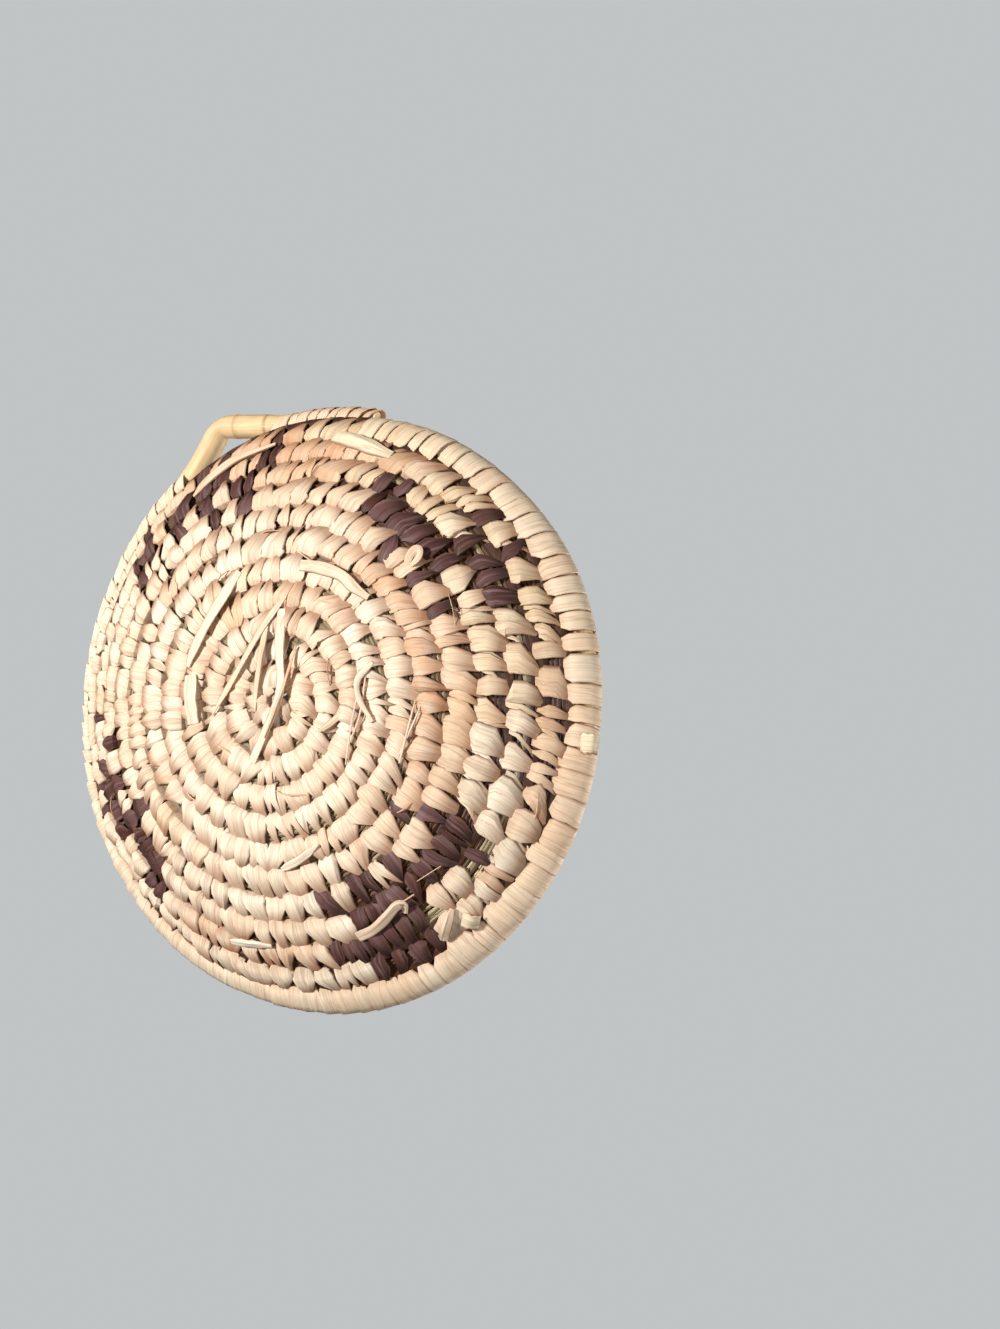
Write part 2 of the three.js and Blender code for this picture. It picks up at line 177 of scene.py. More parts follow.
@dataclass(frozen=True)
class Wall:
    """The bowl's wall: a flat base that turns up along one arc, with the coil laid on it."""

    flat_radius: float = 22.0
    curve_radius: float = 78.0
    middle_height: float = 2.95
    start_distance: float = 4.6
    row_pitch: float = 6.42
    start_angle: float = -90.0
    bundle_turns: float = 10.0 + 7.0 / 12.0
    coil_turns: float = 11.0 + 7.0 / 12.0
    sway: float = 0.2
    heave: float = 0.14
    swell: float = 1.9
    swell_angle: float = 178.0
    swell_half: float = 42.0
    swell_from: float = 38.0
    swell_run: float = 32.0
    tail_turns: float = 0.1
    tail_tuck: float = 1.8
    tuck_share: float = 0.8
    still_turns: float = 0.5
    still_run: float = 1.5
    least_radius: float = 2.0

    # Angle at which the degree scale of the motifs starts, from where it runs backwards
    scale_start: float = 200.0

    # Waves along the coil: rate, start and share
    sway_waves: tuple[Triple, ...] = ((21.3, 0.8, 1.0), (47.9, 2.1, 0.7))
    heave_waves: tuple[Triple, ...] = ((27.7, 1.9, 1.0), (61.3, 0.3, 0.8))

    def distance(self, turn: Number) -> Number:
        """Distance along the wall from the axis to a row's middle."""
        return self.start_distance + self.row_pitch * turn

    def turn_at(self, distance: Number) -> Number:
        """Number of turns at which a row's middle is so far along the wall."""
        return (distance - self.start_distance) / self.row_pitch

    def slope(self, distance: Number) -> Number:
        """Angle by which the wall has turned up at a distance along it, in radians."""
        return np.maximum(0.0, distance - self.flat_radius) / self.curve_radius

    def radius(self, distance: Number) -> Number:
        """Radius of the wall's middle at a distance along it."""
        return np.minimum(distance, self.flat_radius) + self.curve_radius * np.sin(self.slope(distance))

    def angle(self, turn: Number) -> Number:
        """Angle round the axis after so many turns, in radians."""
        return TAU * turn + math.radians(self.start_angle)

    def degrees(self, turn: Number) -> Number:
        """Angle round the axis after so many turns, in degrees."""
        return np.degrees(self.angle(turn))

    def behind(self, turn: Number) -> Number:
        """Degrees, from -180 to 180, by which a place lies behind the start of the degree scale."""
        return short_way(self.scale_start - self.degrees(turn))

    def last_turn_at(self, degrees: float) -> float:
        """Number of turns at which the last row reaches an angle from +X."""
        start = (degrees - self.start_angle) / FULL_TURN
        return start + math.floor(self.coil_turns - start)

    def turn_step(self, turn: float) -> float:
        """Share of a turn that one millimetre along the row makes up."""
        return 1.0 / (TAU * max(self.least_radius, float(self.radius(self.distance(turn)))))

    def turn_after(self, turn: float, length: float) -> float:
        """Number of turns after going some way along the row, taken as a flat spiral.

        Args:
            turn: Turns at the start of the way.
            length: Length of the way.

        Returns:
            Turns at its end.
        """
        half = 0.5 * self.row_pitch
        start = max(turn, 0.0)
        done = self.start_distance * start + half * start * start + length / TAU
        root = math.sqrt(self.start_distance**2 + 4.0 * half * done)
        return (root - self.start_distance) / self.row_pitch

    def place(self, distance: Number, angle: Number, depth: Number) -> Array:
        """Place a point by its distance along the wall, its angle and its depth.

        Args:
            distance: Distance along the wall from the axis.
            angle: Angle round the axis in radians.
            depth: Depth through the wall from its middle, the open side being positive.

        Returns:
            The points, one in each row.
        """
        swell = self.swell * bell(short_way(np.degrees(angle) - self.swell_angle), self.swell_half)
        distance = distance + swell * ease((distance - self.swell_from) / self.swell_run)
        slope = self.slope(distance)
        radius = self.radius(distance) - depth * np.sin(slope)
        rise = self.curve_radius * (1.0 - np.cos(slope))
        height = self.middle_height + rise + depth * np.cos(slope)
        return np.stack(np.broadcast_arrays(radius * np.cos(angle), radius * np.sin(angle), height), -1)

    def coil(self, turn: Number, across: Number, depth: Number) -> Array:
        """Place a point beside the coil, which sways a little as hand-laid rows do.

        Args:
            turn: Turns from the start of the coil.
            across: Distance outwards along the wall from the row's middle.
            depth: Depth through the wall from its middle.

        Returns:
            The points, one in each row.
        """
        held = ease((turn - self.still_turns) / self.still_run)
        sway = self.sway * held * self._wave(turn, self.sway_waves)
        heave = self.heave * held * self._wave(turn, self.heave_waves)
        in_tail = turn - self.coil_turns + self.tail_turns
        tuck = self.tail_tuck * ease(in_tail / (self.tuck_share * self.tail_turns))
        return self.place(self.distance(turn) + across + sway - tuck, self.angle(turn), depth + heave)

    @staticmethod
    def _wave(turn: Number, waves: Sequence[Triple]) -> Number:
        """Sum of waves at a place on the coil."""
        return sum(share * np.sin(rate * turn + start) for rate, start, share in waves)

    def normal(self, points: Array) -> Array:
        """Directions out of the underside of the wall at points near it.

        Args:
            points: Points, one in each row.

        Returns:
            Unit vectors, one in each row.
        """
        radius = np.hypot(points[:, 0], points[:, 1])
        reach = np.maximum(radius - self.flat_radius, 0.0) / np.maximum(radius, SMALL)
        drop = self.middle_height + self.curve_radius - points[:, 2]
        return unit(np.stack([points[:, 0] * reach, points[:, 1] * reach, -drop], 1))

    def spot(self, points: Array) -> Array:
        """Distances along the wall of points near it.

        Args:
            points: Points, one in each row.

        Returns:
            Their distances from the axis.
        """
        radius = np.hypot(points[:, 0], points[:, 1])
        reach = radius - self.flat_radius
        drop = self.middle_height + self.curve_radius - points[:, 2]
        arc = self.flat_radius + self.curve_radius * np.arctan2(np.maximum(reach, 0.0), drop)
        return np.where(reach > 0.0, arc, radius)


WALL = Wall()


# Blanks, and the meshes bent from them


# Section of a leaf strip: the corner at (0, 1) is the fold that runs along it
LEAF_PROFILE = ((1.0, -0.4), (0.93, 1.0), (0.0, 1.0), (-0.93, 1.0), (-1.0, -0.4), (0.0, -1.0))
SHARP_ANGLE = math.radians(34.0)

# How far out the finish takes the raised upper edge of a strip to be, which leaves it less dark than the
# tucked lower one; in the natural and rim leaf that dark edge is partly painted contact shadow
UPPER_EDGE = 0.8

# Millimetres across and along a strip that one unit of a tone's grain moves the grain by
GRAIN_MOVE = (37.0, 61.0)
GRAIN_SPAN = (0.0, 40.0)


def round_profile(sides: int) -> tuple[tuple[float, float], ...]:
    """Corners of a round section."""
    return tuple((math.cos(TAU * side / sides), math.sin(TAU * side / sides)) for side in range(sides))


@dataclass(frozen=True)
class Blank:
    """A straight closed tube whose copies are bent into stitches, stems, strips and cane."""

    step: Array
    side: Array
    through: Array
    crease: Array
    faces: tuple[tuple[int, ...], ...]

    @classmethod
    def model(cls, profile: Sequence[tuple[float, float]], steps: int, creased: bool = False) -> "Blank":
        """Model a blank: a cylinder whose long edges are cut into steps.

        Args:
            profile: Corners of its section, in turn.
            steps: Number of steps along it.
            creased: True where its long edges stay sharp.

        Returns:
            The blank, with its mesh removed from the scene.
        """
        sides = len(profile)
        bpy.ops.object.select_all(action="DESELECT")
        bpy.ops.mesh.primitive_cylinder_add(vertices=sides, radius=1.0, depth=1.0, end_fill_type="NGON")
        tube = bpy.context.object
        mesh = tube.data
        bpy.context.tool_settings.mesh_select_mode = (False, True, False)
        bpy.ops.object.mode_set(mode="EDIT")
        bpy.ops.mesh.select_all(action="DESELECT")
        bpy.ops.object.mode_set(mode="OBJECT")
        for edge in mesh.edges:
            first, second = (mesh.vertices[index].co for index in edge.vertices)
            edge.select = abs(first.z - second.z) > 0.5
        bpy.ops.object.mode_set(mode="EDIT")
        bpy.ops.mesh.subdivide(number_cuts=steps - 1)
        bpy.ops.object.mode_set(mode="OBJECT")
        points = np.array([vertex.co for vertex in mesh.vertices])
        faces = tuple(tuple(polygon.vertices) for polygon in mesh.polygons)
        bpy.data.objects.remove(tube)
        bpy.data.meshes.remove(mesh)
        corner = np.rint(np.arctan2(-points[:, 0], points[:, 1]) / TAU * sides).astype(int) % sides
        section = np.array(profile)[corner]
        step = np.rint((points[:, 2] + 0.5) * steps).astype(int)
        crease = corner if creased else np.full_like(corner, -1)
        return cls(step, section[:, 0], section[:, 1], crease, faces)


@dataclass
class Path:
    """The way that a bent blank follows, one row for each of its steps."""

    middle: Array
    across: Array
    outward: Array
    half_width: Array
    half_thickness: Array
    crown: Array
    tilt: Array
    fold: Array
    shade: Array | None = None
    green: Array | None = None
    # Share of painted shade along the path
    painted_shade: Array | None = None

    @classmethod
    def tube(cls, middle: Array, radius: Array) -> "Path":
        """A round path through points.

        Args:
            middle: Points along the middle of the tube.
            radius: Its radius at each.

        Returns:
            The path.
        """
        ahead = unit(np.gradient(middle, axis=0))
        up = np.tile([0.0, 0.0, 1.0], (len(middle), 1))
        across = unit(np.cross(ahead, up))
        outward = np.cross(across, ahead)
        flat = np.zeros(len(middle))
        return cls(middle, across, outward, radius, radius.copy(), flat, flat, flat)


@dataclass(frozen=True)
class Tone:
    """What the finish reads: how pale, how green and how rusty a strip is, and where its grain starts."""

    pale: float
    green: float = 0.0
    rust: float = 0.0
    grain: float = 0.0


@dataclass
class Bundle:
    """Bent copies of blanks that are gathered into one mesh."""

    points: list[Array] = field(default_factory=list)
    faces: list[tuple[int, ...]] = field(default_factory=list)
    strip: list[Array] = field(default_factory=list)
    tone: list[Array] = field(default_factory=list)
    stain_and_shade: list[Array] = field(default_factory=list)
    crease: list[Array] = field(default_factory=list)
    count: int = 0

    def bend(self, blank: Blank, path: Path, tone: Tone) -> None:
        """Bend one copy of a blank along a path and keep it.

        Args:
            blank: The blank to copy.
            path: The way that it follows.
            tone: What the finish reads.
        """
        step = blank.step
        edge = np.abs(blank.side)
        # The raised upper edge takes less of the edge colour, which in the natural and rim leaf paints a
        # contact shadow at the tucked lower edge
        edge_mark = np.where(blank.side < 0.0, edge, UPPER_EDGE * edge)
        on_fold = (edge == 0.0) & (blank.through > 0.0)
        side = blank.side + np.where(on_fold, path.fold[step], 0.0)
        aside = side * path.half_width[step]
        arch = 1.0 - edge * edge
        lift = blank.through * path.half_thickness[step] + path.crown[step] * arch + path.tilt[step] * side
        points = path.middle[step] + path.across[step] * aside[:, None]
        points = points + path.outward[step] * lift[:, None]
        along = lengths(path.middle)[step]
        faces = blank.faces
        if self._inside_out(points, faces):
            faces = tuple(tuple(reversed(face)) for face in faces)
        self.faces.extend(tuple(index + self.count for index in face) for face in faces)
        self.points.append(points)
        self.strip.append(np.stack([aside, along], 1) + tone.grain * np.array(GRAIN_MOVE))
        pale = self._spread(path.shade, tone.pale, step)
        green = self._spread(path.green, tone.green, step)
        self.tone.append(np.stack([pale, green, edge_mark, np.ones(len(step))], 1))
        # Rust is the strip's own stain; the second share is painted shade under the next row and at inner
        # tips
        rust = np.full(len(step), tone.rust)
        painted_shade = self._spread(path.painted_shade, 0.0, step)
        self.stain_and_shade.append(np.stack([rust, painted_shade, np.zeros(len(step))], 1))
        self.crease.append(blank.crease)
        self.count += len(points)

    @staticmethod
    def _spread(along: Array | None, alike: float, step: Array) -> Array:
        """Value at each point: the path's own where it has one, or the same all over."""
        return np.full(len(step), alike) if along is None else along[step]

    def _crease_edges(self, mesh: bpy.types.Mesh) -> None:
        """Keep the long edges of the strips sharp.

        Args:
            mesh: The mesh of all the strips.
        """
        ends = np.empty(2 * len(mesh.edges), dtype=np.int32)
        mesh.edges.foreach_get("vertices", ends)
        sharp = np.empty(len(mesh.edges), dtype=bool)
        mesh.edges.foreach_get("use_edge_sharp", sharp)
        first, second = np.concatenate(self.crease)[ends.reshape(-1, 2)].T
        mesh.edges.foreach_set("use_edge_sharp", sharp | ((first == second) & (first >= 0)))

    @staticmethod
    def _inside_out(points: Array, faces: Sequence[tuple[int, ...]]) -> bool:
        """Find whether the faces of a closed mesh point inwards.

        Args:
            points: Its points, one in each row.
            faces: Its faces, as numbers of points.

        Returns:
            True where they do.
        """
        corners = [(face[0], second, third) for face in faces for second, third in zip(face[1:], face[2:])]
        first, second, third = points[np.array(corners)].transpose(1, 0, 2)
        return float(np.sum(first * np.cross(second, third))) < 0.0

    def piece(
        self, name: str, material: bpy.types.Material, slot: str, nodes: Sequence[str]
    ) -> bpy.types.Object:
        """Write the gathered copies as one piece of the basket.

        Args:
            name: Name of the piece.
            material: Its finish.
            slot: The record's material slot, which is not used.
            nodes: The CAD nodes that it stands for.

        Returns:
            The new object, which rides on the basket.
        """
        mesh = bpy.data.meshes.new(name)
        mesh.from_pydata(np.concatenate(self.points) * MM, [], self.faces)
        mesh.materials.append(material)
        corners = np.empty(len(mesh.loops), dtype=np.int32)
        mesh.loops.foreach_get("vertex_index", corners)
        strip = mesh.uv_layers.new(name=STRIP_MAP)
        strip.uv.foreach_set("vector", np.concatenate(self.strip)[corners].astype(np.float32).ravel())
        tone = mesh.attributes.new(TONE, "FLOAT_COLOR", "POINT")
        tone.data.foreach_set("color", np.concatenate(self.tone).astype(np.float32).ravel())
        stain_and_shade = mesh.attributes.new(STAIN_AND_SHADE, "FLOAT_VECTOR", "POINT")
        stain_and_shade.data.foreach_set("vector", np.concatenate(self.stain_and_shade).astype(np.float32).ravel())
        mesh.shade_smooth()
        mesh.set_sharp_from_angle(angle=SHARP_ANGLE)
        self._crease_edges(mesh)
        mesh.update()
        piece = bpy.data.objects.new(name, mesh)
        bpy.context.scene.collection.objects.link(piece)
        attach(piece, BODY)
        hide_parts(*nodes)
        log.info("%s: %d faces, stands for %s", name, len(mesh.polygons), ", ".join(nodes))
        return piece


# Finishes


class Tree:
    """A node tree with short ways to add and join its nodes."""

    def __init__(self, tree: bpy.types.NodeTree) -> None:
        """Start on an empty tree.

        Args:
            tree: The tree to fill.
        """
        self.tree = tree
        self.tree.nodes.clear()

    def add(self, kind: str, **settings: object) -> bpy.types.Node:
        """Add a node and set its options.

        Args:
            kind: Node type.
            **settings: Options of the node by name.

        Returns:
            The new node.
        """
        node = self.tree.nodes.new(kind)
        for name, value in settings.items():
            setattr(node, name, value)
        return node

    def feed(self, node: bpy.types.Node, **inputs: object) -> bpy.types.Node:
        """Set or join the inputs of a node, named with _ for a space or by i and a number.

        Args:
            node: The node to feed.
            **inputs: A value, or an output socket to join.

        Returns:
            The same node.
        """
        for name, value in inputs.items():
            numbered = name[0] == "i" and name[1:].isdigit()
            socket = node.inputs[int(name[1:])] if numbered else node.inputs[name.replace("_", " ")]
            if isinstance(value, bpy.types.NodeSocket):
                self.tree.links.new(value, socket)
            else:
                socket.default_value = value
        return node

    def mix(self, factor: object, first: object, second: object, blend: str = "MIX") -> bpy.types.NodeSocket:
        """Mix two colours.

        Args:
            factor: Share of the second.
            first: First colour.
            second: Second colour.
            blend: Way to mix them.

        Returns:
            The mixed colour.
        """
        node = self.add("ShaderNodeMix", data_type="RGBA", blend_type=blend)
        self.feed(node, i0=factor, i6=first, i7=second)
        return node.outputs[2]

    def math(self, operation: str, first: object, second: object = 0.0) -> bpy.types.NodeSocket:
        """Work out one value from two."""
        return self.feed(self.add("ShaderNodeMath", operation=operation), i0=first, i1=second).outputs[0]

    def ramp(self, value: object, low: float, high: float, first: float, last: float) -> bpy.types.NodeSocket:
        """Map a range of values onto another, held at its ends.

        Args:
            value: Value to map.
            low: Value that gives the first result.
            high: Value that gives the last result.
            first: First result.
            last: Last result.

        Returns:
            The mapped value.
        """
        node = self.add("ShaderNodeMapRange", clamp=True)
        self.feed(node, i0=value, i1=low, i2=high, i3=first, i4=last)
        return node.outputs[0]


@dataclass(frozen=True)
class GrainLayer:
    """Noise drawn out along a strip: its scales, its octaves and the part of its range that is used."""

    roughness: ClassVar[float] = 0.55

    across: float
    along: float
    octaves: float
    used: Span

    def noise(self, tree: Tree, vector: bpy.types.NodeSocket) -> bpy.types.NodeSocket:
        """Add the noise.

        Args:
            tree: The tree to add it to.
            vector: The strip's own map, in millimetres.

        Returns:
            The noise value.
        """
        scale = (self.across, self.along, 1.0)
        place = tree.feed(tree.add("ShaderNodeMapping"), Vector=vector, Scale=scale)
        noise = tree.add("ShaderNodeTexNoise", noise_dimensions="2D")
        tree.feed(noise, Vector=place.outputs[0], Scale=1.0, Detail=self.octaves, Roughness=self.roughness)
        return noise.outputs[0]


GRAIN_LAYERS = {
    "Grain": GrainLayer(3.0, 0.06, 3.0, (0.3, 0.7)),
    "Streak": GrainLayer(0.9, 0.05, 2.0, (0.33, 0.67)),
    "Blotch": GrainLayer(0.3, 0.2, 3.0, (0.33, 0.67)),
}
CREASE_LAYER = GrainLayer(0.45, 0.03, 1.0, (0.006, 0.04))


def grain_group() -> bpy.types.NodeTree:
    """Build the shared group that draws the grain of dry leaf, grass and cane.

    Returns:
        A group with the input Fine and the outputs Grain, Streak, Blotch and Crease.
    """
    group = bpy.data.node_groups.new("plant_grain", "ShaderNodeTree")
    group.interface.new_socket("Fine", in_out="INPUT", socket_type="NodeSocketFloat")
    for name in (*GRAIN_LAYERS, "Crease"):
        group.interface.new_socket(name, in_out="OUTPUT", socket_type="NodeSocketFloat")
    tree = Tree(group)
    given = tree.add("NodeGroupInput")
    result = tree.add("NodeGroupOutput")
    strip = tree.add("ShaderNodeUVMap", uv_map=STRIP_MAP)
    fine = tree.add("ShaderNodeVectorMath", operation="SCALE")
    tree.feed(fine, Vector=strip.outputs[0], Scale=given.outputs["Fine"])
    for name, layer in GRAIN_LAYERS.items():
        source = strip if name == "Blotch" else fine
        noise = layer.noise(tree, source.outputs[0])
        tree.feed(result, **{name: tree.ramp(noise, *layer.used, 0.0, 1.0)})
    split = CREASE_LAYER.noise(tree, fine.outputs[0])
    off_split = tree.math("ABSOLUTE", tree.math("SUBTRACT", split, 0.5))
    tree.feed(result, Crease=tree.ramp(off_split, *CREASE_LAYER.used, 1.0, 0.0))
    return group


@dataclass(frozen=True)
class PlantFinish:
    """Finish of dry plant fibre, drawn along the strip that it covers."""

    patch_used: ClassVar[Span] = (0.1, 0.8)
    patch_least: ClassVar[float] = 0.25
    streak_from: ClassVar[float] = 0.55
    blotch_shades: ClassVar[Span] = (0.92, 1.05)
    grain_to: ClassVar[float] = 0.5
    fold_to: ClassVar[float] = 0.06
    edge_run: ClassVar[Span] = (0.74, 0.95)
    relief_height: ClassVar[float] = 0.08
    gloss: ClassVar[float] = 0.3

    name: str
    base: Colour
    pale: Colour
    green: Colour
    streak: Colour
    rust: Colour
    # crease also paints shade at covered stitch ends and tips; edge is partly the leaf's own brown edge,
    # partly painted contact shadow in natural and rim leaf
    crease: Colour
    edge: Colour
    streak_share: float = 0.24
    grain_dark: float = 0.85
    crease_share: float = 0.22
    edge_share: float = 0.75
    fold_line: float = 0.35
    fine: float = 1.0
    roughness: Span = (0.5, 0.7)
    relief: float = 0.4

    def build(self, grain: bpy.types.NodeTree) -> bpy.types.Material:
        """Make the material.

        Args:
            grain: The shared grain group.

        Returns:
            The material.
        """
        material = bpy.data.materials.new(self.name)
        material.use_nodes = True
        tree = Tree(material.node_tree)
        output = tree.add("ShaderNodeOutputMaterial")
        shader = tree.add("ShaderNodeBsdfPrincipled")
        tree.feed(output, Surface=shader.outputs[0])
        fibre = tree.add("ShaderNodeGroup", node_tree=grain)
        fibre.inputs["Fine"].default_value = self.fine
        tone = tree.add("ShaderNodeAttribute", attribute_name=TONE)
        shares = tree.feed(tree.add("ShaderNodeSeparateColor"), Color=tone.outputs["Color"])
        pale, green, edge_mark = shares.outputs[:3]
        # This attribute holds rust, the strip's own stain, and painted shade
        stain_and_shade = tree.add("ShaderNodeAttribute", attribute_name=STAIN_AND_SHADE)
        marks = tree.feed(tree.add("ShaderNodeSeparateXYZ"), Vector=stain_and_shade.outputs["Vector"])
        rust, painted_shade = marks.outputs[:2]
        patch = tree.ramp(fibre.outputs["Blotch"], *self.patch_used, self.patch_least, 1.0)
        rusty = tree.math("MULTIPLY", rust, patch)
        streak = tree.ramp(fibre.outputs["Streak"], self.streak_from, 1.0, 0.0, self.streak_share)
        blotch = tree.ramp(fibre.outputs["Blotch"], 0.0, 1.0, *self.blotch_shades)
        dark = tree.ramp(fibre.outputs["Grain"], 0.0, self.grain_to, self.grain_dark, 1.0)
        crease = tree.ramp(fibre.outputs["Crease"], 0.0, 1.0, 0.0, self.crease_share)
        line = tree.ramp(edge_mark, 0.0, self.fold_to, self.fold_line, 0.0)
        # Edge colour, strongest at the tucked lower edge: in the natural and rim leaf partly their own brown
        # edge, partly painted contact shadow
        edge = tree.ramp(edge_mark, *self.edge_run, 0.0, self.edge_share)
        tints = ((pale, self.pale), (green, self.green), (rusty, self.rust), (streak, self.streak))
        # The crease colour also paints shade where the next row covers a stitch and at its inner tip
        lines = ((crease, self.crease), (painted_shade, self.crease), (line, self.crease), (edge, self.edge))
        colour = linear(*self.base)
        for share, tint in tints:
            colour = tree.mix(share, colour, linear(*tint))
        for shade in (blotch, dark):
            colour = tree.mix(1.0, colour, shade, "MULTIPLY")
        for share, tint in lines:
            colour = tree.mix(share, colour, linear(*tint))
        rough = tree.ramp(fibre.outputs["Grain"], 0.0, 1.0, *reversed(self.roughness))
        height = tree.math("SUBTRACT", fibre.outputs["Grain"], fibre.outputs["Crease"])
        bump = tree.add("ShaderNodeBump")
        tree.feed(bump, Strength=self.relief, Distance=self.relief_height * MM, Height=height)
        tree.feed(shader, Base_Color=colour, Roughness=rough, Normal=bump.outputs[0])
        tree.feed(shader, Specular_IOR_Level=self.gloss)
        return material


NATURAL_FINISH = PlantFinish(
    "natural_leaf",
    base=(238, 199, 161),
    pale=(255, 240, 214),
    green=(242, 222, 176),
    streak=(216, 160, 120),
    rust=(208, 143, 95),
    crease=(142, 84, 46),
    edge=(104, 52, 22),
)
RIM_FINISH = PlantFinish(
    "rim_leaf",
    base=(252, 219, 184),
    pale=(255, 238, 210),
    green=(244, 228, 182),
    streak=(228, 180, 138),
    rust=(232, 180, 138),
    crease=(170, 118, 80),
    edge=(168, 120, 82),
)
DYED_FINISH = PlantFinish(
    "dyed_leaf",
    base=(82, 48, 42),
    pale=(114, 80, 76),
    green=(98, 68, 50),
    streak=(150, 116, 112),
    rust=(92, 50, 34),
    crease=(34, 15, 8),
    edge=(150, 106, 76),
    streak_share=0.5,
    grain_dark=0.6,
    edge_share=0.35,
    roughness=(0.46, 0.66),
    relief=0.5,
)
# The grass's dark brown base is partly painted shade for the gaps between stitches; its near-black rust,
# which only the core takes, is painted shade
GRASS_FINISH = PlantFinish(
    "grass_stem",
    base=(100, 63, 37),
    pale=(90, 69, 68),
    green=(222, 206, 160),
    streak=(100, 64, 42),
    rust=(46, 22, 10),
    crease=(58, 30, 14),
    edge=(128, 84, 50),
    edge_share=0.0,
    fold_line=0.0,
    roughness=(0.45, 0.65),
    fine=1.6,
)
CANE_FINISH = PlantFinish(
    "cane",
    base=(238, 204, 154),
    pale=(150, 108, 62),
    green=(232, 214, 150),
    streak=(232, 194, 140),
    rust=(206, 150, 92),
    crease=(206, 160, 102),
    edge=(248, 216, 168),
    grain_dark=0.92,
    crease_share=0.3,
    edge_share=0.0,
    fold_line=0.0,
    roughness=(0.42, 0.56),
    relief=0.25,
    fine=0.8,
)


# Strips of leaf


class LeafKind(Enum):
    """Kinds of leaf by their record slots, which also start the names of their pieces."""

    NATURAL = "natural_leaf"
    DYED = "dyed_leaf"
    RIM = "rim_leaf"

    def nodes(self) -> list[str]:
        """Names of the CAD splints of this leaf, in order."""
        start = self.value.replace("leaf", "splint")
        return sorted(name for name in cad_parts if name.startswith(start))


@dataclass(frozen=True)
class Strip:
    """One bent strip of leaf: its place on the coil, its kind and its tone."""

    steps: ClassVar[int] = 0

    turn: float
    kind: LeafKind
    tone: Tone

    def path(self) -> Path:
        """Lay the strip."""
        raise NotImplementedError


@dataclass(frozen=True)
class StitchShape:
    """Cut of a stitch across its row, the hidden part of its inner end, and the painted shade on it where the
    next row covers it.
    """

    crest: float
    inner_reach: float
    outer_reach: float
    height: float
    bulge: float
    hidden: float
    powers: Span
    painted_shade: float = 0.0


ROW_STITCH = StitchShape(
    crest=-1.0,
    inner_reach=4.2,
    outer_reach=4.3,
    height=2.45,
    bulge=0.1,
    hidden=0.6,
    powers=(0.5, 0.46),
    painted_shade=0.7,
)
RIM_STITCH = StitchShape(
    crest=0.3,
    inner_reach=5.6,
    outer_reach=3.45,
    height=2.75,
    bulge=0.1,
    hidden=0.4,
    powers=(0.55, 0.55),
)
TAIL_STITCH = StitchShape(
    crest=0.5,
    inner_reach=4.4,
    outer_reach=2.7,
    height=2.3,
    bulge=0.0,
    hidden=0.4,
    powers=(0.8, 0.8),
)


